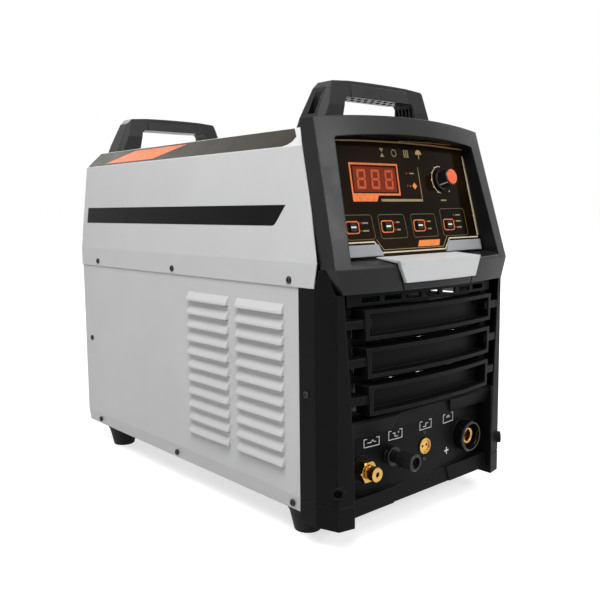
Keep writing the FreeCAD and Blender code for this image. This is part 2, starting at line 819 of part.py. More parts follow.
def make_front_grille():
    body = new_body()
    apex = bow_apex + 1.5
    first = pad(body, "top", blade_low, blade_low + blade_height, bowed_band(blade_half, apex, blade_depth))
    repeated(body, [first], "Z_Axis", 3, blade_pitch)
    top = blade_low + blade_pitch * 2 + blade_height
    for side in (-1, 1):
        wedge = [(blade_low_half * side, blade_low - 1), ((blade_half + 2) * side, blade_low - 1),
                 ((blade_half + 2) * side, top + 1), (blade_top_half * side, top + 1)]
        pocket(body, "front", case_front - 80, case_front - 20, wedge)
    for row in range(3):
        low = blade_low + blade_pitch * row
        reach = blade_low_half - blade_rim + (blade_top_half - blade_low_half) * (row * 0.36)
        window = bowed_band(reach, apex + 1, 16)
        pocket(body, "top", low + blade_rim, low + blade_height - blade_rim, window)
    end = vent_low_half - 0.4
    for side in (-1, 1):
        strip = [((blade_half + 1) * side, case_front - 41), (end * side, case_front - 41),
                 (end * side, case_front - 31), ((blade_half + 1) * side, case_front - 31)]
        pad(body, "top", vent_low + 4.4, head_low - 1, strip)
        arm = [((blade_half - 12) * side, case_front - 58), (end * side, case_front - 54),
               (end * side, case_front - 36), ((blade_half - 12) * side, case_front - 36)]
        for row in range(3):
            low = blade_low + blade_pitch * row + 13
            pad(body, "top", low, low + 8.7, arm)
            reach = vent_low_half + (low - vent_low) * 0.07
            finger = [((end - 1) * side, case_front - 54), (reach * side, case_front - 53),
                      (reach * side, case_front - 45), ((end - 1) * side, case_front - 45)]
            pad(body, "top", low, low + 8.7, finger)
    strip_low = head_low - 14.5
    pad(body, "top", strip_low, head_low - 1, bowed_band(end, bow_apex - 9, 3))
    for side in (-1, 1):
        stay = [((blade_half + 4) * side, case_front - 47), (end * side, case_front - 46),
                (end * side, case_front - 38), ((blade_half + 4) * side, case_front - 38)]
        pad(body, "top", strip_low, head_low - 1, stay)
    slot = [(-107, head_low - 11), (-82, head_low - 11), (-82, head_low - 5), (-107, head_low - 5)]
    first = pocket(body, "front", case_front - 60, case_front - 40, slot)
    repeated(body, [first], "X_Axis", 7, 31.5)
    for row in range(3):
        high = blade_low + blade_pitch * row
        low = high - 4.5 if row == 0 else high - 9
        pad(body, "top", low, high, bowed_band(blade_half + 5, bow_apex - 22, 2.5))
    return finish(body, "front_grille")


# Front head: the hooded bezel with its ledge and chin


def head_outline(half, corner, back):
    return [(-half, case_front + back), (-half, case_front - corner, bow_radius),
            (half, case_front - corner),
            (half, case_front + back)]


def make_front_head():
    body = new_body()
    fold = skirt_top - 6
    above = roof_height + 14.4
    reach = frame_half + 8.4
    loft(body, fold - 0.1, head_outline(head_low_half, 54, 20), above, head_outline(head_top_half, 9.5, 20))
    loft(body, head_low, head_outline(bend_half, 54.4, -34), fold, head_outline(head_low_half, 54, -34))
    corner = head_top_half + 0.6
    crown = [(-reach, above + 8), (-reach, roof_height + 4.7), (-corner, roof_height + 5.8, -1484),
             (corner, roof_height + 5.8), (reach, roof_height + 4.7), (reach, above + 8)]
    pocket(body, "front", case_front - 90, case_front + 40, crown)
    cover_line = [(case_front - 31.8, fold - 1), (case_front - 29.9, skirt_top),
                  (case_front + 3.7, bend_height + 3), (case_front + 11, above), (case_front + 45, above),
                  (case_front + 45, fold - 1)]
    pocket(body, "side", -reach, reach, cover_line)
    chin_back = [(case_front - 40, fold - 0.1), (case_front - 47.7, head_low - 1),
                 (case_front - 20, head_low - 1),
                 (case_front - 20, fold - 0.1)]
    pocket(body, "side", -reach, reach, chin_back)
    window_top = roof_height - 16.1
    window = [(-window_bottom_half, shelf_height), (window_bottom_half, shelf_height),
              (window_top_half, window_top), (window_top_half - 2, window_top + 2.1, 1060),
              (-window_top_half + 2, window_top + 2.1), (-window_top_half, window_top)]
    pocket(body, "front", case_front - 90, case_front + 40, window)
    shelf = [(case_front - 80, shelf_height - 7.5), (case_front - 29, shelf_height + 0.2),
             (case_front - 29, shelf_height + 2), (case_front - 80, shelf_height + 2)]
    pocket(body, "side", -window_bottom_half, window_bottom_half, shelf)
    slope = math.tan(math.radians(panel_lean.value))
    foot = case_front - panel_foot_depth - clearance
    room_low, room_high = shelf_height - 3, roof_height - 6.1
    panel_room = [(foot + (room_low - panel_foot_height) * slope, room_low), (case_front + 30, room_low),
                  (case_front + 30, room_high), (foot + (room_high - panel_foot_height) * slope, room_high)]
    pocket(body, "side", -panel_half - 2, panel_half + 2, panel_room)
    hollow_half = window_bottom_half - 3
    chin_hollow = [(-hollow_half, case_front - 51), (hollow_half, case_front - 51),
                   (hollow_half, case_front - 30),
                   (-hollow_half, case_front - 30)]
    pocket(body, "top", head_low - 1, skirt_top - 11, chin_hollow)
    for side in (-1, 1):
        groove = [(66.5 * side, skirt_top - 4), (69 * side, skirt_top - 4), (60 * side, head_low - 1),
                  (57.5 * side, head_low - 1)]
        pocket(body, "front", case_front - 90, case_front - 61, groove)
    return finish(body, "front_head")


def make_chin_plate():
    body = new_body()
    top = shelf_height - 1.5
    pad(body, "top", shelf_height - 25, top, bowed_band(74, chin_apex + 4.2, 4))
    for side in (-1, 1):
        wedge = [(60.5 * side, shelf_height - 26), (76 * side, shelf_height - 26),
                 (76 * side, shelf_height - 1),
                 (72 * side, shelf_height - 1)]
        pocket(body, "front", case_front - 90, case_front - 50, wedge)
    flange = [(case_front - 71.5, shelf_height - 4.8), (case_front - 36, shelf_height - 0.2),
              (case_front - 36, shelf_height + 1.2), (case_front - 71.5, top)]
    pad(body, "side", -70, 70, flange)
    return finish(body, "chin_plate")


# Control panel and what stands on it, each drawn flat and then leaned back


def panel_piece(inner, outer, *loops):
    """A flat piece drawn in the panel's plane, from an inner to an outer distance in front of it."""
    body = new_body()
    pad(body, "front", -as_size(outer), -as_size(inner), *loops)
    return body


def square(x, up, reach):
    return [(x - reach, up - reach), (x + reach, up - reach), (x + reach, up + reach),
            (x - reach, up + reach)]


def lamp_places():
    places = [(4.9, 77.9), (3.9, 63.1)]
    for index in range(4):
        x = button_first + button_pitch * index + 11.5
        rows = (21, 12.5) if index < 3 else (28, 20.5, 13)
        places.extend((x, up) for up in rows)
    return places


def make_control_panel():
    outline = [(-panel_half, panel_low), (panel_half, panel_low), (panel_half, panel_high - 6),
               (panel_half - 6, panel_high), (-panel_half + 6, panel_high), (-panel_half, panel_high - 6)]
    body = panel_piece(-panel_thick, 0, outline)
    pocket(body, "front", -1, panel_thick + 1, (knob_across, knob_up, shaft_radius + 1))
    for index in range(4):
        x = button_first + button_pitch * index
        pocket(body, "front", -1, panel_thick + 1, square(x, button_height, button_wide / 2 + clearance))
    pocket(body, "front", -1, panel_thick + 1, display_outline(0))
    for x, up in lamp_places():
        pocket(body, "front", -1, panel_thick + 1, (x, up, 1.6))
    return finish(on_panel(body), "control_panel")


def display_outline(inset):
    return [(-84.5 + inset, 55.4 + inset), (-14.5 - inset, 55.4 + inset), (-12.8 - inset, 84.2 - inset),
            (-82.8 + inset, 84.2 - inset)]


def make_display_window():
    window = panel_piece(-panel_thick, -0.4, display_outline(0.1))
    return finish(on_panel(window), "display_window")


def make_indicator_lamps():
    lamps = [panel_piece(-6, 0.5, (x, up, 1.5)) for x, up in lamp_places()]
    lamps.append(panel_piece(0.05, 0.6, [(13, 63), (15.9, 66), (18.8, 63), (15.9, 60)]))
    return finish(on_panel(group(*lamps)), "indicator_lamps")


def make_trim_block(side):
    outline = [(62 * side, -3.2), ((panel_half - 6) * side, -3.2), ((panel_half - 6) * side, -16),
               (56 * side, -16)]
    block = panel_piece(0.05, 2.2, outline)
    return finish(on_panel(block), "trim_block_left" if side < 0 else "trim_block_right")


def make_button(index):
    body = panel_piece(-panel_thick - 2, 1.8, square(0, 0, button_wide / 2))
    rounded(body, 1.6, lambda edge: runs_along(edge, "y"))
    pad(body, "front", panel_thick + 1, panel_thick + 2, square(0, 0, button_wide / 2 + 1))
    on_panel(body, button_first + button_pitch * index, button_height)
    return finish(body, f"button_{index + 1}")


def make_current_knob():
    base = -0.6
    tip = base - knob_height
    body = turned_body([(base, shaft_radius + running_clearance), (base, knob_radius),
                        (base - 2.5, knob_radius), (base - 3.5, knob_radius - 1.4),
                        (tip + 1, knob_tip_radius + 0.4), (tip, knob_tip_radius - 0.4), (tip, 6.2),
                        (tip + 1.5, 6.2), (tip + 1.5, 1), (-10, 1),
                        (-10, shaft_radius + running_clearance)])
    flute = (0, knob_radius + 0.2, 1.3)
    first = pocket(body, "front", tip - 1, base - 3.5, flute)
    spaced_round(body, [first], "Y_Axis", 18)
    pointer = [(-0.7, -knob_radius + 0.6), (0.7, -knob_radius + 0.6), (0.7, -knob_radius - 0.2),
               (-0.7, -knob_radius - 0.2)]
    pad(body, "front", base - 2.5, base, pointer)
    return finish(on_panel(body, knob_across, knob_up), "current_knob")


def make_knob_cap():
    tip = -0.6 - knob_height
    body = turned_body([(tip + 1.45, 0), (tip + 1.45, 6.1), (tip - 0.1, 6.1),
                        (tip - 0.1, knob_tip_radius - 0.6),
                        (tip - 0.9, knob_tip_radius - 1), (tip - 1.3, 0)])
    return finish(on_panel(body, knob_across, knob_up), "knob_cap")


def make_potentiometer():
    body = turned_body([(-9, 0), (-9, shaft_radius), (panel_thick + 6, shaft_radius),
                        (panel_thick + 6, 4.4),
                        (panel_thick + 0.1, 4.4), (panel_thick + 0.1, 6.5), (panel_thick + 6.1, 6.5),
                        (panel_thick + 6.1, 8.5), (panel_thick + 8, 8.5), (panel_thick + 18, 8.5),
                        (panel_thick + 18, 0)])
    return finish(on_panel(body, knob_across, knob_up), "potentiometer")


def make_control_board():
    outline = [(-118, -8), (88, -8), (88, 44), (48, 44), (48, 92), (-118, 92)]
    body = panel_piece(-panel_thick - 11.6, -panel_thick - 10, outline)
    for x, up in ((-112, -3), (82, -3), (-112, 87), (42, 87)):
        pad(body, "front", panel_thick + 0.05, panel_thick + 10.5, (x, up, 3))
    chips = [(-100, 40, 14), (-60, 44, 9), (-20, 60, 12), (20, 40, 10)]
    for x, up, reach in chips:
        pad(body, "front", panel_thick + 11, panel_thick + 15, square(x, up, reach))
    for index in range(4):
        x = button_first + button_pitch * index
        pad(body, "front", panel_thick + 4.2, panel_thick + 10.5, square(x, button_height, 3))
    return finish(on_panel(body), "control_board")


# Handles: one form, used at the front and at the rear


def is_outer_front_edge(edge, front):
    """True for the steep outer edges at the front of a handle's legs."""
    if not isinstance(edge.Curve, Part.Line) or edge.Length < 20:
        return False
    ends = [vertex.Point for vertex in edge.Vertexes]
    in_front = all(abs(end.y - front) < 0.01 for end in ends)
    return in_front and all(abs(end.x) > handle_top_half.value for end in ends)


def make_handle(name, place, pockets):
    body = new_body()
    base = roof_height + 0.2
    top = roof_height + handle_rise
    inner_top = top - handle_bar
    near = case_front + place
    far = near + handle_depth
    outline = [(-handle_base_half, base), (-handle_inner_half, base), (-handle_bar_half - 4, inner_top - 4),
               (-handle_bar_half, inner_top), (handle_bar_half, inner_top),
               (handle_bar_half + 4, inner_top - 4),
               (handle_inner_half, base), (handle_base_half, base), (handle_top_half + 1, top - 9),
               (handle_top_half - 6, top - 2), (grip_half + 2, top, 1800), (-grip_half - 2, top),
               (-handle_top_half + 6, top - 2), (-handle_top_half - 1, top - 9)]
    pad(body, "front", near, far, outline)
    bevelled(body, 6, lambda edge: is_outer_front_edge(edge, near.value))
    lean = [(near - 1, base + 20), (near - 1, top + 5), (near + 5, top + 5)]
    pocket(body, "side", -160, 160, lean)
    lean_back = [(far + 1, base + 8), (far + 1, top + 5), (far - 9, top + 5), (far - 7, top - 6)]
    pocket(body, "side", -160, 160, lean_back)
    slim = [(-grip_half, near - 1), (grip_half, near - 1), (grip_half, near + 4), (-grip_half, near + 4)]
    slim_back = [(-grip_half, far - 6), (grip_half, far - 6), (grip_half, far + 1), (-grip_half, far + 1)]
    pocket(body, "top", inner_top - 1, top - 3, slim)
    pocket(body, "top", inner_top - 1, top - 3, slim_back)
    under = [(-grip_half, near - 1), (grip_half, near - 1), (grip_half, far + 1), (-grip_half, far + 1)]
    pocket(body, "top", inner_top - 1, inner_top + 3.5, under)
    for side in (-1, 1):
        if pockets:
            side_pocket = [(near + 11, base + 16), (near + 24, base + 16), (near + 21, top - 8),
                           (near + 9, top - 8)]
            pocket(body, "side", handle_base_half * side - 18, handle_base_half * side + 18, side_pocket)
            slot = [(near + 4, base + 2), (near + 7.4, base + 2), (near + 7.4, inner_top - 4),
                    (near + 4, inner_top - 4)]
            first = pocket(body, "side", handle_inner_half * side - 9, handle_inner_half * side + 4, slot)
            repeated(body, [first], "Y_Axis", 5, 5.6)
        for x, y in handle_screw_places(place):
            if x.value * side > 0:
                pocket(body, "top", base - 1, base + 12, (x, y, 2.05))
    return finish(body, f"{name}_handle")


def make_grip(name, place):
    """The softer insert that wraps the bar of a handle."""
    body = new_body()
    top = roof_height + handle_rise
    inner_top = top - handle_bar
    near = case_front + place + 0.5
    far = case_front + place + handle_depth - 2
    half = grip_half - clearance
    outer = [(near + 0.2, inner_top - 0.2), (far - 1, inner_top - 0.2), (far - 0.4, top - 7),
             (far - 3, top - 3.2),
             (far - 3.9, top - 3.2), (far - 3.9, inner_top + 3.3), (near + 3.3, inner_top + 3.3),
             (near + 3.3, top - 3.2), (near + 3.2, top - 3.2)]
    pad(body, "side", -half, half, outer)
    if name == "front":
        for lane in range(2):
            start = near + 4 + 12 * lane
            dimple = [(-44, start), (-37, start), (-34, start + 8), (-41, start + 8)]
            first = pocket(body, "top", inner_top - 1, inner_top + 1.3, dimple)
            repeated(body, [first], "X_Axis", 8, 11)
    return finish(body, f"{name}_handle_grip")


def make_handle_screws():
    screws = []
    for place in (front_handle_place, rear_handle_place):
        for x, y in handle_screw_places(place):
            shank = rod(x, y, roof_height - 1.3, screw_radius, 12)
            head = rod(x, y, roof_height - sheet_steel - 2.4, 4.4, 2.4)
            screws.append(joined(shank, head))
    return finish(group(*screws), "handle_screws")


# Rubber feet and their screws


def make_rubber_feet():
    feet = []
    for side in (-1, 1):
        for along in (foot_first, foot_second):
            body = new_body()
            spun(body, "front", "V", [(2.6, 6), (foot_low_radius - 4, 6), (foot_low_radius - 4, 0),
                                      (foot_low_radius - 0.8, 0), (foot_low_radius, 0.8),
                                      (foot_top_radius - 2, foot_height - 6),
                                      (foot_top_radius, foot_height - 3),
                                      (foot_top_radius, foot_height), (2.6, foot_height)])
            feet.append(move(body, foot_across * side, case_front + along, 0))
    return finish(group(*feet), "rubber_feet")


def make_foot_screws():
    screws = []
    for side in (-1, 1):
        for along in (foot_first, foot_second):
            x = foot_across * side
            y = case_front + along
            shank = rod(x, y, 5, 2.5, foot_height + 3)
            head = rod(x, y, 3, 5, 3)
            nut = hexagon(x, y, foot_height + sheet_steel, 8, 3.5)
            screws.append(joined(shank, head, nut))
    return finish(group(*screws), "foot_screws")


# Front connectors, all on the bowed connector panel


def make_torch_connector():
    """A threaded gas fitting: hexagon, neck and thread in front of the panel, a tail behind it."""
    face = boss_face(torch_across, torch_boss) - 0.05
    thread = torch_thread_radius
    body = turned_body([(3, 2.6), (-23.7, 2.6), (-24.5, 3.4), (-24.5, thread - 1), (-23.5, thread),
                        (-13.5, thread), (-13.5, thread - 1), (-12, thread - 1), (-12, 11.6), (-11, 12.8),
                        (0, 12.8), (0, 7.9), (16, 7.9), (16, 4.6), (3, 4.6)])
    limits = [hexagon(0, 0, 0, 22, 12, "-Y"), rod(0, -11.9, 0, thread, 14, "-Y"),
              rod(0, -0.1, 0, 7.9, 18, "Y")]
    fitting = shared(body, joined(*limits))
    return finish(move(group(fitting), torch_across, face, torch_height), "torch_connector")


def make_pilot_stud():
    collar = cone(0, -0.9, 0, 10, 8.5, 4, "-Y")
    stud = rod(0, 12, 0, pilot_stud_radius, 36, "-Y")
    nut = hexagon(0, 5, 0, 13, 4.5, "Y")
    whole = group(joined(collar, stud, nut))
    return finish(move(whole, pilot_across, panel_face(pilot_across), pilot_height), "pilot_stud")


def make_pilot_disc():
    bore = pilot_stud_radius + running_clearance
    disc = turned_body([(0, bore), (0, 10.5), (-1, 11), (-3, 11), (-3.6, 10.4), (-3.6, bore)])
    return finish(move(disc, pilot_across, panel_face(pilot_across) - 5.2, pilot_height),
                  "pilot_clamp_disc")


def make_pilot_knob():
    bore = pilot_stud_radius + running_clearance
    outer = pilot_knob_radius
    knob = turned_body([(0, bore), (0, 7), (-7, 7), (-9.5, outer), (-29.6, outer), (-30.6, outer - 1),
                        (-30.6, 6.4), (-24.6, 6.4), (-24.6, bore)])
    flute = (0, outer + 0.5, 0.9)
    first = pocket(knob, "front", -28.6, -10.5, flute)
    spaced_round(knob, [first], "Y_Axis", 14)
    return finish(move(knob, pilot_across, panel_face(pilot_across) - 8.85, pilot_height), "pilot_knob")


def make_trigger_socket():
    """A two-pole socket that stands a little out of the panel, with a flange behind its plate."""
    outer = trigger_radius
    shell = turned_body([(-2.6, 7.8), (-2.6, outer - 0.6), (-2, outer), (4.9, outer), (4.9, outer + 1.4),
                         (6.4, outer + 1.4), (6.4, 6.9), (14, 6.9), (14, 0), (-0.8, 0), (-0.8, 7.8)])
    key = box(-1.2, -2.2, 5.9, 2.4, 1.5, 2.1)
    contacts = [rod(x, -2, z, 1.5, 6, "Y") for x, z in ((-3.4, 0), (3.4, 0.8))]
    whole = group(cut(joined(shell, key), *contacts))
    return finish(move(whole, trigger_across, panel_face(trigger_across), trigger_height), "trigger_socket")


def make_trigger_plate():
    face = panel_face(trigger_across) + moulding_wall + 0.25
    body = new_body()
    outline = [(-11, -20), (11, -20), (11, 20), (-11, 20)]
    holes = [(0, 0, trigger_radius + 0.1)]
    holes.extend((0, trigger_screw_rise * way, 1.7) for way in (-1, 1))
    pad(body, "front", 0, 1.6, outline, *holes)
    return finish(move(body, trigger_across, face, trigger_height), "trigger_plate")


def make_plate_screws():
    screws = []
    for way in (-1, 1):
        height = trigger_screw_rise * way
        shank = rod(0, 7, height, 1.5, 7.2, "-Y")
        head = cone(0, -0.1, height, 2.8, 2, 1.4, "-Y")
        screws.append(cut(joined(shank, head), rod(0, -0.8, height, 0.8, 2, "-Y")))
    whole = group(*screws)
    return finish(move(whole, trigger_across, panel_face(trigger_across), trigger_height),
                  "trigger_plate_screws")


def make_output_socket():
    face = boss_face(output_across, output_boss) - 0.05
    bore = output_insert_radius + 0.1
    body = turned_body([(0, bore), (0, 18), (-0.8, 18.8), (-12.6, 18.8), (-14, 17.6), (-14, 16),
                        (-3, 14.6), (-3, bore)])
    rear = cut(rod(0, -0.1, 0, 14, 18, "Y"), rod(0, -1, 0, bore, 20, "Y"))
    whole = group(joined(body, rear))
    return finish(move(whole, output_across, face, output_height), "output_socket_collar")


def make_output_insert():
    face = boss_face(output_across, output_boss) - 0.05
    outer, pin = output_insert_radius, output_pin_radius
    body = turned_body([(-8.2, pin + 0.85), (-8.2, outer - 0.6), (-7.6, outer), (18, outer), (24, 6.6),
                        (24, 0),
                        (12, 0), (12, pin), (-7.35, pin)])
    keyway = box(-2.2, -9, 4, 4.4, 14, 4)
    return finish(move(group(cut(body, keyway)), output_across, face, output_height),
                  "output_socket_insert")


# Rear panel and what it carries


def make_rear_panel():
    body = new_body()
    wall = sheet_steel
    low_half = half_width - wall - 1
    outline = [(-low_half + 3, foot_height + 1.5), (low_half - 3, foot_height + 1.5),
               (low_half, fold_height + 2),
               (low_half, skirt_top - 6), (skirt_half - 3.6, skirt_top), (bend_half - 3.4, bend_height - 1),
               (roof_half - 2, roof_height - 2.6)]
    whole = outline[1:] + [(-x, z) for x, z in reversed(outline[1:])]
    pad(body, "front", rear_wall - wall, rear_wall, whole)
    pocket(body, "front", rear_wall - 3, rear_wall + 1, (fan_across, fan_height, fan_radius))
    for dx in (-fan_screws, fan_screws):
        for dz in (-fan_screws, fan_screws):
            pocket(body, "front", rear_wall - 3, rear_wall + 1, (fan_across + dx, fan_height + dz, 2.3))
    breaker = [(breaker_across - 27.5, breaker_height - 23), (breaker_across + 27.5, breaker_height - 23),
               (breaker_across + 27.5, breaker_height + 23), (breaker_across - 27.5, breaker_height + 23)]
    pocket(body, "front", rear_wall - 3, rear_wall + 1, breaker)
    for x, z, radius in ((gland_across, gland_height, 10.2), (earth_across, earth_height, 4.2),
                         (pipe_across, outlet_height - pipe_drop, 4.3)):
        pocket(body, "front", rear_wall - 3, rear_wall + 1, (x, z, radius))
    for dx in (-14, 14):
        pocket(body, "front", rear_wall - 3, rear_wall + 1,
               (regulator_across + dx, regulator_height + 30, 2.2))
    return finish(body, "rear_panel")


def make_fan_frame():
    body = new_body()
    inner = rear_wall - sheet_steel - 0.1
    x, z = fan_across, fan_height
    outline = [(x - fan_half, z - fan_half), (x + fan_half, z - fan_half), (x + fan_half, z + fan_half),
               (x - fan_half, z + fan_half)]
    pad(body, "front", inner - fan_depth, inner, outline, (x, z, fan_radius + 2))
    rounded(body, 4, lambda edge: runs_along(edge, "y"))
    pad(body, "front", inner - fan_depth, inner - fan_depth + 4, (x, z, 22))
    arm = [(x - fan_radius - 3, z - 3), (x + fan_radius + 3, z - 3), (x + fan_radius + 3, z + 3),
           (x - fan_radius - 3, z + 3)]
    pad(body, "front", inner - fan_depth, inner - fan_depth + 3.5, arm)
    upright = [(x - 3, z - fan_radius - 3), (x + 3, z - fan_radius - 3), (x + 3, z + fan_radius + 3),
               (x - 3, z + fan_radius + 3)]
    pad(body, "front", inner - fan_depth, inner - fan_depth + 3.5, upright)
    pad(body, "front", inner - fan_depth + 4, inner - 12, (x, z, 2.5))
    for dx in (-fan_screws, fan_screws):
        for dz in (-fan_screws, fan_screws):
            pocket(body, "front", inner - fan_depth - 1, inner + 1, (x + dx, z + dz, 2.2))
    return finish(body, "fan_frame")


def make_fan_rotor():
    inner = rear_wall - sheet_steel - 0.1
    near = inner - fan_depth + 5
    hub = cut(rod(0, 0, 0, 19.5, 27, "Y"), rod(0, -1, 0, 2.5 + running_clearance, 23, "Y"))
    blades = [fan_blade(index) for index in range(7)]
    rotor = joined(hub, *blades)
    return finish(move(group(rotor), fan_across, near, fan_height), "fan_rotor")


def fan_blade(index):
    """One pitched blade, a ruled sheet from a steep root line to a flatter tip line."""
    root = Part.makeLine(Vector(17, 3, -7), Vector(17, 23, 7))
    tip = Part.makeLine(Vector(51, 7, -18), Vector(51, 19, 18))
    blade = document.addObject("Part::Feature", "blade")
    blade.Shape = Part.makeRuledSurface(root, tip).extrude(Vector(0, 1.4, 0))
    blade.Placement = FreeCAD.Placement(Vector(0, 0, 0), FreeCAD.Rotation(Vector(0, 1, 0), 360 / 7 * index))
    return blade


def make_fan_guard():
    """A finger guard: flat rings on four crossed arms, with a lug at each corner."""
    body = new_body()
    near, far = rear_wall + 4.5, rear_wall + 6.5
    for radius in (14, 24, 34, 44, 54):
        pad(body, "front", near, far, (0, 0, radius + 1.2), (0, 0, radius - 1.2))
    pad(body, "front", near, far, (0, 0, 6))
    for way in (-1, 1):
        across, width = 49.5, 1.1
        arm = [(-across - width, (-across + width) * way), (-across + width, (-across - width) * way),
               (across + width, (across - width) * way), (across - width, (across + width) * way)]
        pad(body, "front", near, far, arm)
    for dx in (-fan_screws, fan_screws):
        for dz in (-fan_screws, fan_screws):
            pad(body, "front", rear_wall + 0.05, far, (dx, dz, 5))
            pocket(body, "front", rear_wall, far + 1, (dx, dz, 2.3))
    return finish(move(body, fan_across, 0, fan_height), "fan_guard")


def make_breaker():
    x, z = breaker_across, breaker_height
    near = rear_wall - 46
    body = box(x - 27, near, z - 40, 54, 44, 80)
    nose = box(x - 27, near + 43, z - 22.5, 54, 12, 45)
    slot = box(x - 24, near + 46, z - 8, 48, 14, 16)
    trunnion = rod(x - 26, rear_wall + lever_pivot, z, 3 + running_clearance, 52, "X")
    return finish(cut(joined(body, nose), slot, trunnion), "mains_breaker")


def make_breaker_lever():
    bar = rod(-25.9, 0, 0, 3, 51.8, "X")
    paddle = box(-22, -1.5, -2.6, 44, 12, 5.2)
    lever = turn(group(joined(bar, paddle)), (1, 0, 0), -20)
    return finish(move(lever, breaker_across, rear_wall + lever_pivot, breaker_height), "breaker_lever")


def make_cable_gland():
    x, z = gland_across, gland_height
    body = turned_body([(-12, 7), (-12, 10), (0.1, 10), (0.1, 14), (6, 14), (6, 12.5), (8, 12.5), (8, 14),
                        (20, 14),
                        (25, 9.5), (25, 7)])
    nut = cut(hexagon(0, -sheet_steel - 0.1, 0, 27, 5, "-Y"), rod(0, 1, 0, 9.9, 12, "-Y"))
    return finish(move(group(joined(body, nut)), x, rear_wall, z), "cable_gland")


def make_earth_stud():
    stud = rod(0, -14, 0, 4, 40, "Y")
    inner_nut = hexagon(0, -sheet_steel - 6.2, 0, 13, 6, "Y")
    outer_nut = hexagon(0, 0.2, 0, 13, 6, "Y")
    wing = hexagon(0, 12, 0, 13, 6, "Y")
    washer = rod(0, 8, 0, 8.5, 1.6, "Y")
    whole = joined(stud, inner_nut, outer_nut, wing, washer)
    return finish(move(group(whole), earth_across, rear_wall, earth_height), "earth_stud")


def make_regulator_bracket():
    body = new_body()
    x, z = regulator_across, regulator_height
    upright = [(x - 20, z + 17), (x + 20, z + 17), (x + 20, z + 40), (x - 20, z + 40)]
    pad(body, "front", rear_wall + 0.1, rear_wall + 2.1, upright)
    shelf = [(x - 20, rear_wall + 0.1), (x + 20, rear_wall + 0.1), (x + 20, rear_wall + 48),
             (x - 20, rear_wall + 48)]
    pad(body, "top", z + 17, z + 19, shelf)
    pocket(body, "top", z + 16, z + 20, (x, rear_wall + regulator_out, 11.2))
    for dx in (-14, 14):
        pocket(body, "front", rear_wall, rear_wall + 3, (x + dx, z + 30, 2.2))
    return finish(body, "regulator_bracket")


def make_regulator_body():
    x, z = regulator_across, regulator_height
    y = rear_wall + regulator_out
    block = box(x - 19, y - 19, z - 20, 38, 38, 36.8)
    neck = rod(x, y, z + 16, 11, 14)
    inlet = rod(x - 18, y, z - 4, 8, 10, "-X")
    outlet = rod(x + 18, y, z - 4, 8, 10, "X")
    boss = rod(x, y + 18, z, 6.5, 5, "Y")
    whole = joined(block, neck, inlet, outlet, boss)
    bores = [rod(x - 14, y, z - 4, 5, 18, "-X"), rod(x, y, z + 22, 3, 10)]
    return finish(cut(whole, *bores), "regulator_body")


def make_filter_bowl():
    body = new_body()
    spun(body, "front", "V", [(0, -2), (16.5, -2), (18.5, -6), (18.5, -48), (12, -60), (4, -62), (4, -68),
                              (0, -68)])
    return finish(move(body, regulator_across, rear_wall + regulator_out, regulator_height - 18.2),
                  "filter_bowl")


def make_regulator_knob():
    body = new_body()
    spun(body, "front", "V", [(11.05, 2), (16, 2), (17, 4), (17, 20), (15, 27), (12, 28), (0, 28),
                              (0, 14.6),
                              (11.05, 14.6)])
    flute = (17.6, 0, 1.6)
    first = pocket(body, "top", 5, 22, flute)
    spaced_round(body, [first], "Z_Axis", 16)
    return finish(move(body, regulator_across, rear_wall + regulator_out, regulator_height + 17.8),
                  "regulator_knob")


def make_pressure_gauge():
    y = rear_wall + regulator_out + 23.1
    body = turned_body([(0, 0), (0, 18), (1.5, 20.5), (12, 20.5), (13, 19.5), (13, 18), (5, 18), (5, 0)])
    return finish(move(body, regulator_across, y, regulator_height), "pressure_gauge")


def make_gauge_needle():
    y = rear_wall + regulator_out + 23.1 + 6
    hub = rod(0, 0, 0, 2.2, 1.6, "Y")
    hand = box(-0.6, 0.3, -5, 1.2, 0.8, 19)
    whole = turn(group(joined(hub, hand)), (0, 1, 0), 135)
    return finish(move(whole, regulator_across, y, regulator_height), "gauge_needle")


def make_gauge_glass():
    y = rear_wall + regulator_out + 23.1 + 10
    glass = group(rod(0, 0, 0, 17.9, 1.5, "Y"))
    return finish(move(glass, regulator_across, y, regulator_height), "gauge_glass")


def make_air_inlet():
    x, z = regulator_across - 18, outlet_height
    y = rear_wall + regulator_out
    body = new_body()
    barbs = [point for along in (-28, -32, -36) for point in ((along, 4.3), (along, 5))]
    spun(body, "front", "H", [(2, 2.8), (2, 4.95), (-10.1, 4.95), (-10.1, 8), (-18, 8), (-18, 5), (-26, 5),
                              (-26, 4.3)] + barbs + [(-39, 4), (-39, 2.8)])
    return finish(move(body, x, y, z), "air_inlet_barb")


def make_air_pipe():
    """The bent pipe from the regulator's outlet back into the case, swept along its own path."""
    bend = 9
    corner = bend * math.sqrt(0.5)
    short = bend - corner
    across = 11.5
    down = pipe_drop.value
    path = Part.Wire([
        Part.LineSegment(Vector(0, 0, 0), Vector(across - bend, 0, 0)).toShape(),
        Part.Arc(Vector(across - bend, 0, 0), Vector(across - short, 0, -short),
                 Vector(across, 0, -bend)).toShape(),
        Part.LineSegment(Vector(across, 0, -bend), Vector(across, 0, bend - down)).toShape(),
        Part.Arc(Vector(across, 0, bend - down), Vector(across, -short, short - down),
                 Vector(across, -bend, -down)).toShape(),
        Part.LineSegment(Vector(across, -bend, -down), Vector(across, -42, -down)).toShape()])
    section = Part.Wire(Part.makeCircle(4, Vector(0, 0, 0), Vector(1, 0, 0)))
    pipe = document.addObject("Part::Feature", "pipe")
    pipe.Shape = path.makePipeShell([section], True, False)
    return finish(move(pipe, regulator_across + 28.1, rear_wall + regulator_out, outlet_height), "air_pipe")


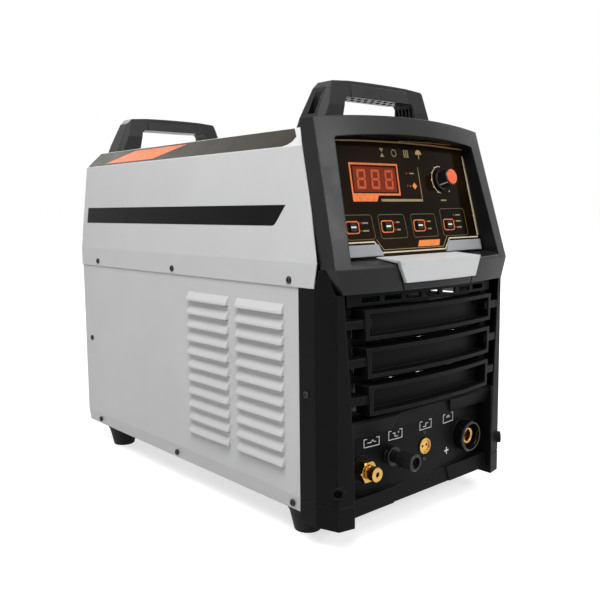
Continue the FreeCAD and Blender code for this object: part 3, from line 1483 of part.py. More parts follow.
def make_rear_screws():
    """The screws of the fan and of the regulator bracket, all of one length."""
    sides = (-fan_screws, fan_screws)
    places = [(fan_across + dx, fan_height + dz, 6.7) for dx in sides for dz in sides]
    places.extend((regulator_across + dx, regulator_height + 30, 2.2) for dx in (-14, 14))
    screws = []
    for x, z, out in places:
        shank = rod(x, rear_wall + out, z, 2, 14, "-Y")
        head = rod(x, rear_wall + out, z, 4, 2, "Y")
        socket = rod(x, rear_wall + out + 0.9, z, 1.3, 3, "Y")
        screws.append(cut(joined(shank, head), socket))
    return finish(group(*screws), "rear_screws")


# Inside: the shelf, the heat sink, the transformer and the main board


def make_divider():
    body = new_body()
    reach = half_width - 9
    plate = [(-reach, case_front + 12), (reach, case_front + 12), (reach, rear_wall - 60),
             (-reach, rear_wall - 60)]
    pad(body, "top", shelf_level, shelf_level + 2, plate)
    for side in (-1, 1):
        for along in (30, 340):
            leg = [(reach * side, case_front + along), ((reach - 2) * side, case_front + along),
                   ((reach - 2) * side, case_front + along + 40), (reach * side, case_front + along + 40)]
            pad(body, "top", tray_floor, shelf_level, leg)
        window = [(70 * side, case_front + 20), (100 * side, case_front + 20),
                  (100 * side, case_front + 44),
                  (70 * side, case_front + 44)]
        pocket(body, "top", shelf_level - 1, shelf_level + 3, window)
        for along in board_pillar_places:
            pad(body, "top", shelf_level + 1, board_level, (112 * side, case_front + along, 3.5))
    return finish(body, "divider_shelf")


def make_heat_sink():
    """One extruded section with a foot, a web and fins to both sides."""
    body = new_body()
    near = case_front + 60
    far = near + 190
    foot = [(-34, tray_floor), (34, tray_floor), (34, tray_floor + 5), (-34, tray_floor + 5)]
    web = [(-8, tray_floor + 4), (8, tray_floor + 4), (8, 206), (-8, 206)]
    pad(body, "front", near, far, foot)
    pad(body, "front", near, far, web)
    fin = [(-64, 110), (64, 110), (64, 112), (-64, 112)]
    first = pad(body, "front", near, far, fin)
    repeated(body, [first], "Z_Axis", 12, 8)
    return finish(body, "heat_sink")


def block_outline(x, along, wide, deep):
    return [(x - wide / 2, case_front + along - deep / 2), (x + wide / 2, case_front + along - deep / 2),
            (x + wide / 2, case_front + along + deep / 2), (x - wide / 2, case_front + along + deep / 2)]


def make_main_board():
    """The board with its soldered parts."""
    body = new_body()
    top = board_level + 1.6
    pad(body, "top", board_level, top, block_outline(0, 175, 240, 250))
    for x, along, wide, high in ((-85, 95, 36, 14), (-35, 95, 22, 10), (35, 95, 44, 9), (90, 95, 26, 18),
                                 (-85, 230, 40, 22)):
        pad(body, "top", top - 0.5, top + high, block_outline(x, along, wide, 36))
    first = pad(body, "top", top - 0.5, top + 45, (-30, case_front + 160, 16))
    repeated(body, [first], "X_Axis", 4, 38)
    first = pad(body, "top", top - 0.5, top + 45, (-30, case_front + 215, 16))
    repeated(body, [first], "X_Axis", 4, 38)
    return finish(body, "main_board")


def make_transformer():
    """A laminated core with its winding round the middle limb."""
    body = new_body()
    x, along = 82, 310
    near, far = case_front + along - 30, case_front + along + 30
    core = [(x - 38, tray_floor), (x + 38, tray_floor), (x + 38, tray_floor + 84),
            (x - 38, tray_floor + 84)]
    pad(body, "front", near, far, core)
    for way in (-1, 1):
        face = case_front + along + 29 * way
        winding = [(x - 27, face), (x - 27, face + 9 * way), (x - 20, face + 16 * way),
                   (x + 20, face + 16 * way),
                   (x + 27, face + 9 * way), (x + 27, face)]
        pad(body, "top", tray_floor + 14, tray_floor + 70, winding)
    return finish(body, "transformer")


# Building: every sub-part, then the checks and the files


def build():
    make_base_tray()
    left = make_side_panel()
    finish(mirror_x(left), "side_panel_right")
    make_top_cover()
    make_case_screws()
    make_front_frame()
    make_front_grille()
    make_front_head()
    make_chin_plate()
    make_control_panel()
    make_display_window()
    make_indicator_lamps()
    for side in (-1, 1):
        make_trim_block(side)
    for index in range(4):
        make_button(index)
    make_current_knob()
    make_knob_cap()
    make_potentiometer()
    make_control_board()
    for name, place in (("front", front_handle_place), ("rear", rear_handle_place)):
        make_handle(name, place, name == "front")
        make_grip(name, place)
    make_handle_screws()
    make_rubber_feet()
    make_foot_screws()
    make_torch_connector()
    make_pilot_stud()
    make_pilot_disc()
    make_pilot_knob()
    make_trigger_socket()
    make_trigger_plate()
    make_plate_screws()
    make_output_socket()
    make_output_insert()
    make_rear_panel()
    make_fan_frame()
    make_fan_rotor()
    make_fan_guard()
    make_breaker()
    make_breaker_lever()
    make_cable_gland()
    make_earth_stud()
    make_regulator_bracket()
    make_rear_screws()
    make_regulator_body()
    make_filter_bowl()
    make_regulator_knob()
    make_pressure_gauge()
    make_gauge_needle()
    make_gauge_glass()
    make_air_inlet()
    make_air_pipe()
    make_divider()
    make_heat_sink()
    make_main_board()
    make_transformer()


def check_and_write():
    document.recompute()
    for thing in document.Objects:
        if "Invalid" in thing.State or "Error" in thing.State:
            raise RuntimeError(f"{thing.Name} did not build: {thing.State}")
    os.makedirs("parts", exist_ok=True)
    for thing in finish.named:
        if thing.Shape.isNull() or not thing.Shape.isValid():
            raise RuntimeError(f"{thing.Label} has no valid shape")
        thing.Shape.exportStep(f"parts/{thing.Label}.step")


build()
check_and_write()
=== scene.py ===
import bpy, bmesh, math
from mathutils import Matrix, Vector


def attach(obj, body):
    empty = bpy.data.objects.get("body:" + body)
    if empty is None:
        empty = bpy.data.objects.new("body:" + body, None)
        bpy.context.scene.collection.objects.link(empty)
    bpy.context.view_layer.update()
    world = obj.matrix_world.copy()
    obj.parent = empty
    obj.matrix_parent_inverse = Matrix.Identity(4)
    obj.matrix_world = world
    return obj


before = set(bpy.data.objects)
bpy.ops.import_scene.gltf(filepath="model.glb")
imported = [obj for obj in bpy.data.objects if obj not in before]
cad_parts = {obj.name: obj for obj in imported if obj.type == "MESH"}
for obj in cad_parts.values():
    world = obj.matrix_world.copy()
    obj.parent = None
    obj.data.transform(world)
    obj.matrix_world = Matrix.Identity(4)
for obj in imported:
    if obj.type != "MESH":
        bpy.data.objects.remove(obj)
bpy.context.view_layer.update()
scene = bpy.context.scene
MM = 0.001

# Places taken from the frame: millimetres across, behind the side panel's front edge, and up
CASE_FRONT = -242.3
LEAN = math.radians(12)
PANEL_FOOT = (-29.2, 322.4)
BOW_RADIUS = 700
RECESS_APEX = 42
SKIRT = (152.4, 303)
BEND = (138.6, 425)
ROOF = (114.1, 447.6)
COVER_RISE = 0.11
SHOULDER_OUT = (0.68, 0.74)

# On the control panel, across and up its own plane, in millimetres. KNOB_SIDE gives the radius of the knob's
# side and its height out of the panel, at the pointer's two ends
KNOB_AT = (66.9, 71.2)
KNOB_SIDE = ((11.15, 4.3), (10.05, 16.0))
POINTER_TURN = math.radians(-130)
POINTER_HALF = 0.65
BUTTON_AT = (-96.1, 16.5)
BUTTON_PITCH = 55.2
SIGN_UP = 101

# The gauge in millimetres: its middle across and up, its dial's place along Y, and half a mark's width.
# GAUGE_STEP is the angle between marks in degrees
GAUGE_AT = (90, 300)
DIAL_FACE = 309.82
GAUGE_MARKS = 21
GAUGE_STEP = 13.5
MARK_HALF = 0.3

# Thickness of print and of film
PRINT = 0.10 * MM
FILM_THICK = 0.15 * MM

# How far out of the face under it each kind starts, in millimetres
ON_FACE = 0.05
OVER_LINE = 0.08
ON_FRAME = 0.1
ON_RECESS = 0.12
ON_STRIP = 0.22
ON_LAMP = 0.62
ON_BUTTON = 1.82
BEHIND_WINDOW = -0.36

# The smallest cosine by which a sharp corner of a line is stretched
MITRE_LIMIT = 0.4

# The camera: azimuth, elevation and roll in degrees, its place as the case's are given, and its lens
CAMERA_TURN = (-41.34, 6.40, -0.54)
CAMERA_PLACE = (-666.1, -586.9, 358.7)
CAMERA_LENS = 44.83
CAMERA_SHIFT = (0.001, -0.01183)

# The backdrop's strength as light and as seen, the floor's half width in metres, its glow near and far off
# and the distances in metres between which that rises, and the point that every lamp faces
WORLD_LIGHT = 0.24
WORLD_SEEN = 1.0
FLOOR_HALF = 9
FLOOR_GLOW = (0.66, 1.0)
FLOOR_FADE = (0.7, 2.2)
LAMPS_AIM = (0, 0, 0.25)

# Name, azimuth and elevation in degrees, distance, width and height in metres, and power in watts
LAMPS = (
    ("key", -56, 58, 1.5, 0.9, 0.7, 19),
    ("front", 15, 27, 2.3, 0.8, 0.5, 22),
    ("edge", -44, 36, 2.4, 0.6, 0.35, 9),
    ("right", 100, 32, 2.6, 1.4, 1.0, 22),
    ("rear", 163, 22, 2.8, 1.4, 0.8, 26),
)


def place(x, depth, z):
    return Vector((x * MM, (CASE_FRONT + depth) * MM, z * MM))


def on_panel(x, up, out):
    """A point of the leaning control panel, in its own plane."""
    depth = PANEL_FOOT[0] + up * math.sin(LEAN) - out * math.cos(LEAN)
    return place(x, depth, PANEL_FOOT[1] + up * math.cos(LEAN) + out * math.sin(LEAN))


def bowed(x, apex):
    """Depth of a bowed front face at a place across it."""
    return -apex + BOW_RADIUS - math.sqrt(BOW_RADIUS ** 2 - x ** 2)


def on_recess(x, z, out):
    """A point of the bowed face that the connectors stand on."""
    return place(x, bowed(x, RECESS_APEX) - out, z)


def on_cover_side(depth, z, out, side):
    """A point of the cover's leaning side, side being -1 on the left and 1 on the right."""
    x = SKIRT[0] - (z - SKIRT[1]) * (SKIRT[0] - BEND[0]) / (BEND[1] - SKIRT[1])
    return place(side * (x + out), depth, z)


def on_shoulder(depth, share, out, side):
    """A point of the chamfer, share going from its low edge to its high edge."""
    x = BEND[0] + (ROOF[0] - BEND[0]) * share + out * SHOULDER_OUT[0]
    z = BEND[1] + (ROOF[1] - BEND[1]) * share + out * SHOULDER_OUT[1]
    return place(side * x, depth, z)


# Camera at the photograph's angle

def aim_camera():
    azimuth, elevation, roll = (math.radians(a) for a in CAMERA_TURN)
    forward = Vector((-math.sin(azimuth) * math.cos(elevation), math.cos(azimuth) * math.cos(elevation),
                      -math.sin(elevation)))
    level = forward.cross(Vector((0, 0, 1))).normalized()
    upright = level.cross(forward)
    right = level * math.cos(roll) + upright * math.sin(roll)
    up = upright * math.cos(roll) - level * math.sin(roll)
    data = bpy.data.cameras.new("camera")
    data.sensor_width = 36
    data.lens = CAMERA_LENS
    data.shift_x, data.shift_y = CAMERA_SHIFT
    data.clip_end = 60
    camera = bpy.data.objects.new("camera", data)
    turned = Matrix((right, up, -forward)).transposed().to_4x4()
    turned.translation = place(*CAMERA_PLACE)
    camera.matrix_world = turned
    scene.collection.objects.link(camera)
    scene.camera = camera


aim_camera()


# Materials

class Nodes:
    """A small helper for building one material's node tree."""

    def __init__(self, name):
        self.material = bpy.data.materials.new(name)
        self.material.use_nodes = True
        self.tree = self.material.node_tree
        self.shader = self.tree.nodes["Principled BSDF"]
        self.coordinates = self.tree.nodes.new("ShaderNodeTexCoord").outputs["Object"]

    def put(self, socket, value):
        if isinstance(value, bpy.types.NodeSocket):
            self.tree.links.new(value, socket)
        elif isinstance(value, tuple) and len(value) == 3 and socket.type == "RGBA":
            socket.default_value = (*value, 1)
        else:
            socket.default_value = value

    def new(self, kind, **inputs):
        node = self.tree.nodes.new(kind)
        for key, value in inputs.items():
            self.put(node.inputs[key], value)
        return node

    def noise(self, scale, detail, rough, stretch=None):
        source = self.coordinates
        if stretch:
            source = self.new("ShaderNodeMapping", Vector=source, Scale=stretch).outputs["Vector"]
        node = self.new("ShaderNodeTexNoise", Vector=source, Scale=scale, Detail=detail, Roughness=rough)
        return node.outputs["Fac"]

    def span(self, value, low, high, source_low, source_high):
        """The value taken from one range to another and held inside it."""
        node = self.new("ShaderNodeMapRange", Value=value)
        limits = (("From Min", source_low), ("From Max", source_high), ("To Min", low), ("To Max", high))
        for key, amount in limits:
            node.inputs[key].default_value = amount
        return node.outputs["Result"]

    def mix(self, factor, first, second):
        node = self.tree.nodes.new("ShaderNodeMix")
        node.data_type = "RGBA"
        for index, value in ((0, factor), (6, first), (7, second)):
            self.put(node.inputs[index], value)
        return node.outputs[2]

    def math(self, operation, first, second):
        node = self.tree.nodes.new("ShaderNodeMath")
        node.operation = operation
        self.put(node.inputs[0], first)
        self.put(node.inputs[1], second)
        return node.outputs[0]

    def rim(self, radius):
        """How much of a sharp edge there is at a point, from 0 on a flat face to 1."""
        bevel = self.tree.nodes.new("ShaderNodeBevel")
        bevel.samples = 4
        bevel.inputs["Radius"].default_value = radius
        normal = self.new("ShaderNodeNewGeometry").outputs["Normal"]
        turned = self.tree.nodes.new("ShaderNodeVectorMath")
        turned.operation = "DOT_PRODUCT"
        self.put(turned.inputs[0], bevel.outputs["Normal"])
        self.put(turned.inputs[1], normal)
        return bevel.outputs["Normal"], self.span(turned.outputs["Value"], 1, 0, 0.75, 0.995)

    def finish(self, color, rough, metal=0.0, height=None, depth=0.0002, edge=0.0007, worn_and_highlit_edge=None, **shader):
        """Joins the colour, roughness, bump and the paler edge colour to the shader, those edges being
        partly wear and partly a painted highlight; other values go on its sockets.
        """
        normal = None
        if edge:
            normal, rim = self.rim(edge)
            if worn_and_highlit_edge:
                # Edges are lightened here: partly wear, partly a painted edge highlight.
                edge_wear_and_highlight_mask = self.math("MULTIPLY", rim, self.span(self.noise(60, 4, 0.7), 0.25, 1, 0.4, 0.65))
                color = self.mix(edge_wear_and_highlight_mask, color, worn_and_highlit_edge)
        self.put(self.shader.inputs["Base Color"], color)
        self.put(self.shader.inputs["Roughness"], rough)
        self.shader.inputs["Metallic"].default_value = metal
        if height is not None:
            bump = self.new("ShaderNodeBump", Height=height, Strength=1.0, Distance=depth)
            if normal is not None:
                self.put(bump.inputs["Normal"], normal)
            normal = bump.outputs["Normal"]
        if normal is not None:
            self.put(self.shader.inputs["Normal"], normal)
        for key, value in shader.items():
            self.shader.inputs[key.replace("_", " ")].default_value = value
        return self.material


def shaded(color, share):
    return tuple(min(1.0, c * share) for c in color)


def powder_coat(name, color, rough=0.4, speckle=0.035):
    """Powder coated sheet: fine orange peel, faint handling marks and dust."""
    n = Nodes(name)
    peel = n.noise(900, 3, 0.6)
    cloud = n.noise(7, 4, 0.6)
    shade = n.mix(n.span(cloud, 0, 1, 0.3, 0.7), shaded(color, 1 - speckle), shaded(color, 1 + speckle))
    scuff = n.noise(40, 6, 0.75, (1, 0.15, 1))
    roughness = n.math("ADD", n.span(scuff, -0.05, 0.09, 0.35, 0.7), rough)
    return n.finish(shade, roughness, height=peel, depth=0.00005, edge=0.0012, worn_and_highlit_edge=shaded(color, 1.12),
                    Specular_IOR_Level=0.4)


def moulded(name, color, rough=0.46, grain=1400, depth=0.00007, edge=0.0008, level=0.16, edge_wear_and_highlight_gain=3.2):
    """Injection moulded plastic with a spark-eroded grain, rubbed patches and paler edges that are partly
    wear and partly a painted highlight.
    """
    n = Nodes(name)
    texture = n.noise(grain, 2, 0.5)
    rubbed = n.noise(14, 5, 0.7)
    shade = n.mix(n.span(rubbed, 0, 1, 0.4, 0.72), color, shaded(color, 1.45))
    shade = n.mix(n.span(texture, 0, 0.4, 0.4, 0.75), shade, shaded(color, 1.7))
    roughness = n.span(rubbed, rough - 0.07, rough + 0.08, 0.3, 0.7)
    return n.finish(shade, roughness, height=texture, depth=depth, edge=edge, worn_and_highlit_edge=shaded(color, edge_wear_and_highlight_gain),
                    Specular_IOR_Level=level)


def metal(name, color, rough, stretch=(1, 1, 1)):
    """Machined or plated metal with fine tool marks and dull patches."""
    n = Nodes(name)
    marks = n.noise(700, 3, 0.6, stretch)
    patches = n.noise(30, 4, 0.6)
    shade = n.mix(n.span(patches, 0, 0.5, 0.4, 0.75), color, shaded(color, 0.66))
    dull = n.span(patches, rough - 0.04, rough + 0.08, 0.3, 0.7)
    roughness = n.math("ADD", n.span(marks, -0.06, 0.08, 0.3, 0.7), dull)
    return n.finish(shade, roughness, metal=1.0, height=marks, depth=0.00003, edge=0.0004,
                    worn_and_highlit_edge=shaded(color, 1.15))


def rubber(name, color):
    """Soft rubber with dust in its pores."""
    n = Nodes(name)
    dust = n.noise(22, 5, 0.7)
    shade = n.mix(n.span(dust, 0, 0.5, 0.45, 0.8), color, tuple(c + 0.02 for c in color))
    roughness = n.span(dust, 0.62, 0.82, 0.3, 0.7)
    return n.finish(shade, roughness, height=n.noise(500, 4, 0.6), depth=0.0001, edge=0.001,
                    Specular_IOR_Level=0.2)


def gloss(name, color, rough, level=0.4):
    """Glossy plastic or film with faint smears in its polish."""
    n = Nodes(name)
    smears = n.noise(26, 4, 0.65, (1, 1, 0.4))
    shade = n.mix(n.span(smears, 0, 1, 0.35, 0.7), color, shaded(color, 0.85))
    roughness = n.span(smears, rough, rough + 0.08, 0.4, 0.75)
    return n.finish(shade, roughness, height=n.noise(160, 2, 0.5), depth=0.00001, edge=0.0004,
                    Specular_IOR_Level=level)


def smoked_film(name, dark, warm):
    """Smoked clear film over a dark plate, warmer in broad soft patches."""
    n = Nodes(name)
    patches = n.noise(9, 2, 0.5, (1, 1, 1.6))
    shade = n.mix(n.span(patches, 0, 1, 0.35, 0.7), dark, warm)
    roughness = n.span(n.noise(26, 4, 0.65), 0.1, 0.2, 0.4, 0.75)
    return n.finish(shade, roughness, height=n.noise(160, 2, 0.5), depth=0.00001, edge=0,
                    Specular_IOR_Level=0.04)


def ink(name, color, rough=0.45):
    """Screen print: flat ink that is a little thin in places."""
    n = Nodes(name)
    thin = n.noise(220, 4, 0.65)
    shade = n.mix(n.span(thin, 0, 1, 0.45, 0.75), color, shaded(color, 0.72))
    roughness = n.span(thin, rough, rough + 0.15, 0.3, 0.7)
    return n.finish(shade, roughness, height=thin, depth=0.00002, edge=0, Specular_IOR_Level=0.25)


def glass(name, color):
    """Clear moulded plastic or glass with a faint ripple."""
    n = Nodes(name)
    rough = 0.03
    ripple = n.noise(60, 3, 0.5)
    roughness = n.span(ripple, rough, rough + 0.05, 0.35, 0.7)
    return n.finish(color, roughness, height=ripple, depth=0.00005, edge=0,
                    Transmission_Weight=1.0, IOR=1.47)


def circuit_board(name):
    """Green solder mask with tracks under it and tinned pads."""
    n = Nodes(name)
    cells = n.new("ShaderNodeTexVoronoi", Vector=n.coordinates, Scale=240.0).outputs["Distance"]
    tracks = n.noise(120, 3, 0.6)
    shade = n.mix(n.span(tracks, 0, 1, 0.46, 0.54), (0.01, 0.09, 0.035), (0.015, 0.15, 0.06))
    shade = n.mix(n.span(cells, 1, 0, 0.0, 0.12), shade, (0.45, 0.45, 0.43))
    return n.finish(shade, n.span(tracks, 0.3, 0.5, 0.3, 0.7), height=tracks, depth=0.0001)


PAINT = powder_coat("case_paint", (0.58, 0.582, 0.586))
# The black and head mouldings get strongly lightened edges: mostly a painted edge highlight, partly wear.
PLASTIC = moulded("black_moulding", (0.0034, 0.0034, 0.0036), edge=0.0014, level=0.06, edge_wear_and_highlight_gain=13)
HEAD = moulded("head_moulding", (0.0058, 0.0059, 0.0062), rough=0.35, edge=0.0018, level=0.19, edge_wear_and_highlight_gain=11)
GRIP = moulded("grip_moulding", (0.006, 0.006, 0.0062), rough=0.32, grain=900, level=0.24)
COLLAR = gloss("collar_black", (0.005, 0.0048, 0.0045), rough=0.1, level=0.3)
SILVER = powder_coat("silver_trim", (0.27, 0.28, 0.295), rough=0.32, speckle=0.06)
CHIN = powder_coat("chin_silver", (0.5, 0.505, 0.51), rough=0.36, speckle=0.04)
FILM = smoked_film("panel_film", (0.0055, 0.003, 0.0009), (0.017, 0.0088, 0.002))
DISPLAY = gloss("display_window", (0.19, 0.022, 0.005), rough=0.1, level=0.08)
LAMP = gloss("lamp_lens", (0.16, 0.014, 0.005), rough=0.15, level=0.2)
KNOB = moulded("knob_black", (0.006, 0.006, 0.006), rough=0.3, grain=2000, depth=0.00003, level=0.3)
CAP = gloss("cap_orange", (0.74, 0.125, 0.04), rough=0.34, level=0.25)
BUTTON = moulded("button_black", (0.008, 0.008, 0.008), rough=0.36, grain=2000, depth=0.00003)
RUBBER = rubber("foot_rubber", (0.01, 0.01, 0.01))
ZINC = metal("zinc_plate", (0.62, 0.63, 0.62), rough=0.34)
BLACK_ZINC = metal("black_plate", (0.035, 0.035, 0.037), rough=0.34)
BRASS = metal("machined_brass", (0.56, 0.345, 0.10), rough=0.2)
ALUMINIUM = metal("extruded_aluminium", (0.74, 0.75, 0.76), rough=0.38, stretch=(1, 0.08, 1))
VARNISH = moulded("iron_varnish", (0.12, 0.045, 0.018), rough=0.35, grain=300, depth=0.0003, edge_wear_and_highlight_gain=1.4)
BOWL = glass("clear_bowl", (0.86, 0.9, 0.93))
DIAL = powder_coat("dial_white", (0.75, 0.75, 0.73), rough=0.5, speckle=0.02)
NEEDLE = gloss("needle_red", (0.6, 0.03, 0.02), rough=0.3)
TUBE = gloss("air_tube", (0.03, 0.12, 0.42), rough=0.3)
BOARD = circuit_board("circuit_board")
BLACK_FILM = gloss("black_film", (0.0035, 0.0035, 0.0037), rough=0.3, level=0.06)
OLIVE = gloss("olive_film", (0.026, 0.023, 0.014), rough=0.46, level=0.08)
ORANGE = ink("orange_ink", (0.72, 0.17, 0.045))
BRIGHT_ORANGE = ink("bright_orange_ink", (0.78, 0.21, 0.05))
GOLD = ink("gold_ink", (0.50, 0.34, 0.14), rough=0.35)
CREAM = ink("cream_ink", (0.62, 0.54, 0.38), rough=0.35)
TAN = ink("tan_ink", (0.27, 0.21, 0.11))
DIM_TAN = ink("dim_tan_ink", (0.085, 0.062, 0.033))
MAROON = ink("unlit_segment", (0.46, 0.072, 0.014), rough=0.35)
WHITE = ink("white_ink", (0.72, 0.72, 0.70))
BLACK_INK = ink("black_ink", (0.012, 0.012, 0.012))

# What each node of the frame wears

NODE_LOOKS = (
    (PAINT, "base_tray side_panel_left side_panel_right top_cover rear_panel"),
    (PLASTIC, "front_frame front_grille fan_frame fan_rotor mains_breaker cable_gland"),
    (HEAD, "front_head front_handle rear_handle"),
    (GRIP, "front_handle_grip rear_handle_grip"),
    (COLLAR, "output_socket_collar"),
    (SILVER, "trim_block_left trim_block_right"),
    (CHIN, "chin_plate"),
    (FILM, "control_panel"),
    (DISPLAY, "display_window"),
    (LAMP, "indicator_lamps"),
    (KNOB, "current_knob pilot_knob breaker_lever regulator_knob"),
    (CAP, "knob_cap"),
    (BUTTON, "button_1 button_2 button_3 button_4"),
    (RUBBER, "rubber_feet"),
    (ZINC, "potentiometer handle_screws foot_screws fan_guard regulator_bracket rear_screws divider_shelf"),
    (BLACK_ZINC, "case_screws pilot_stud pilot_clamp_disc trigger_plate trigger_plate_screws"),
    (BRASS, "torch_connector trigger_socket output_socket_insert earth_stud air_inlet_barb"),
    (ALUMINIUM, "regulator_body heat_sink"),
    (VARNISH, "transformer"),
    (BOWL, "filter_bowl gauge_glass"),
    (DIAL, "pressure_gauge"),
    (NEEDLE, "gauge_needle"),
    (TUBE, "air_pipe"),
    (BOARD, "control_board main_board"),
)
for look, nodes in NODE_LOOKS:
    for node in nodes.split():
        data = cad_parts[node].data
        if not data.materials:
            data.materials.append(look)
        for index in range(len(data.materials)):
            data.materials[index] = look


# Thin pieces made from an outline or along a line

def link_piece(name, vertices, faces, look, body):
    """A piece from its corners and faces, which turns and slides with a body."""
    mesh = bpy.data.meshes.new(name)
    mesh.from_pydata(vertices, [], faces)
    shape = bmesh.new()
    shape.from_mesh(mesh)
    bmesh.ops.recalc_face_normals(shape, faces=shape.faces)
    shape.to_mesh(mesh)
    shape.free()
    mesh.materials.append(look)
    piece = bpy.data.objects.new(name, mesh)
    scene.collection.objects.link(piece)
    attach(piece, body)


def plate(name, outline, shift, look, body="case"):
    """A closed plate over an outline of points, going a short way along a vector."""
    count = len(outline)
    vertices = list(outline) + [point + shift for point in outline]
    faces = [tuple(range(count)), tuple(range(2 * count - 1, count - 1, -1))]
    faces += [(i, i + count, (i + 1) % count + count, (i + 1) % count) for i in range(count)]
    link_piece(name, vertices, faces, look, body)


def stroke_sides(points, width, closed):
    """The two sides of a line of a given width through the points, with mitred corners."""
    points = [Vector(point) for point in points]
    count = len(points)
    left, right = [], []
    for index, point in enumerate(points):
        before = point - points[index - 1] if index or closed else None
        after = points[(index + 1) % count] - point if index < count - 1 or closed else None
        first = (before or after).normalized()
        second = (after or before).normalized()
        along = (first + second).normalized()
        side = Vector((-along.y, along.x)) * (width / 2 / max(along.dot(first), MITRE_LIMIT))
        left.append(point + side)
        right.append(point - side)
    return left, right


def stroke(name, points, width, lift, shift, look, closed=False):
    """A raised line through points of a flat or bowed face, where lift gives the point in space."""
    left, right = stroke_sides(points, width, closed)
    count = len(points)
    vertices = []
    for a, b in zip(left, right):
        low = [lift(*a), lift(*b)]
        vertices += low + [low[1] + shift, low[0] + shift]
    faces = []
    for index in range(count if closed else count - 1):
        here, there = 4 * index, 4 * ((index + 1) % count)
        faces += [(here + i, here + (i + 1) % 4, there + (i + 1) % 4, there + i) for i in range(4)]
    if not closed:
        last = 4 * (count - 1)
        faces += [(0, 3, 2, 1), (last, last + 1, last + 2, last + 3)]
    link_piece(name, vertices, faces, look, "case")


def arc(x, up, radius, start, end, steps):
    """Points of an arc, its angles in degrees clockwise from the top."""
    angles = [math.radians(start + (end - start) * step / steps) for step in range(steps + 1)]
    return [(x + radius * math.sin(a), up + radius * math.cos(a)) for a in angles]


def rounded(corners, radius):
    """An outline with its corners rounded off."""
    steps = 4
    result = []
    count = len(corners)
    for index in range(count):
        corner = Vector(corners[index])
        before = (Vector(corners[index - 1]) - corner).normalized() * radius
        after = (Vector(corners[(index + 1) % count]) - corner).normalized() * radius
        for step in range(steps + 1):
            t = step / steps
            result.append(tuple(corner + before * (1 - t) ** 2 + after * t ** 2))
    return result


def rectangle(low_x, low, high_x, high):
    return [(low_x, low), (high_x, low), (high_x, high), (low_x, high)]


PANEL_OUT = (on_panel(0, 0, 1) - on_panel(0, 0, 0)).normalized()


def panel_plate(name, outline, look, out=ON_FACE):
    plate(name, [on_panel(x, up, out) for x, up in outline], PANEL_OUT * PRINT, look)


def panel_line(name, points, width, look=GOLD, out=ON_FACE, closed=False):
    stroke(name, points, width, lambda x, up: on_panel(x, up, out), PANEL_OUT * PRINT, look, closed)


# Films on the cover

def side_films(side, word):
    """One side's dark stripe, the strip along its shoulder and the plain patch on that strip."""
    stripe = [(493, 363.4), (493, 341), (47, 341), (43.6, 341.5), (41, 343.1), (39, 345.7), (25.8, 363.4)]
    plate(f"side_stripe_{word}", [on_cover_side(d, z, ON_FACE, side) for d, z in stripe],
          Vector((side, 0, COVER_RISE)).normalized() * FILM_THICK, BLACK_FILM)
    outward = (on_shoulder(0, 0, 1, side) - on_shoulder(0, 0, 0, side)).normalized()
    strip = [(505, 0.04), (40, 0.04), (33, 0.12), (29, 0.26), (29, 0.5), (45, 0.97), (505, 0.97)]
    plate(f"shoulder_strip_{word}", [on_shoulder(d, share, ON_FACE, side) for d, share in strip],
          outward * FILM_THICK, OLIVE)
    flag = [(452, 0.14), (318, 0.14), (256, 0.86), (392, 0.86)]
    plate(f"shoulder_flag_{word}", [on_shoulder(d, share, ON_STRIP, side) for d, share in flag],
          outward * PRINT, ORANGE)


side_films(-1, "left")
side_films(1, "right")


# Print on the control panel

def panel_borders():
    """The thick and thin lines round the panel, and the plain bar at its foot."""
    panel_line("border_top", [(-122, 110.8), (-60, 113.2), (0, 114), (60, 113.2), (119, 110.9)], 1.7)
    panel_line("border_top_thin", [(0, 115.6), (60, 116.3), (119, 115.4)], 0.7)
    panel_line("border_right", [(117, 102), (123.8, 1.5)], 2.2, CREAM)
    panel_line("border_right_thin", [(119.2, 99), (126, 3)], 1.3, TAN)
    foot = [(124, 0), (66, 0), (55.5, -12.5), (-55.5, -12.5), (-66, 0), (-124, 0)]
    panel_line("border_foot", foot, 1.5, CREAM)
    inner = [(62, 2.6), (52.6, -9.4), (-52.6, -9.4), (-62, 2.6)]
    panel_line("border_foot_thin", inner, 0.7, TAN)
    panel_plate("slanted_bar", [(6, -8), (44.5, -8), (48, -0.8), (9.5, -0.8)], BRIGHT_ORANGE, OVER_LINE)


def display_print():
    """The frame round the display window, its tab, and the bars and lamp signs beside it."""
    corners = [(-86.9, 86.8), (-10.2, 87.3), (-11.6, 52.8), (-87.8, 52.8)]
    panel_line("display_frame", corners, 2.2, ORANGE, ON_FRAME, True)
    panel_plate("display_tab", [(-88.9, 53), (-46.5, 53), (-51.5, 44.8), (-88.9, 44.8)], ORANGE, OVER_LINE)
    panel_plate("tan_bar", rectangle(-44, 44.8, 26.4, 47.6), TAN)
    panel_line("tan_upright", [(27, 44.8), (27, 85.8)], 1.0, TAN)
    for low_x, high_x, up in ((10.5, 18.5, 77.9), (8.5, 10, 63.1)):
        panel_plate(f"lamp_dash_{round(up)}", rectangle(low_x, up - 0.7, high_x, up + 0.7), TAN)
    diamond = [(11.8, 63), (15.9, 67.1), (20, 63), (15.9, 58.9)]
    panel_plate("lamp_diamond", diamond, BRIGHT_ORANGE, ON_LAMP)


def knob_scale():
    """The arc round the current knob, its ticks and the dash under it."""
    x, up = KNOB_AT
    panel_line("knob_arc", arc(x, up, 16.6, -168, 8, 20), 0.9, CREAM)
    for index, angle in enumerate((-150, -120, -90, -60, -30)):
        panel_line(f"knob_tick_{index + 1}", arc(x, up, 17.7, angle - 2, angle + 2, 2), 1.3, CREAM)
    panel_line("knob_tick_end", arc(x, up, 19.2, 132, 140, 2), 1.2, CREAM)
    panel_plate("knob_dash", rectangle(61.6, 45.4, 71.8, 47.2), TAN)


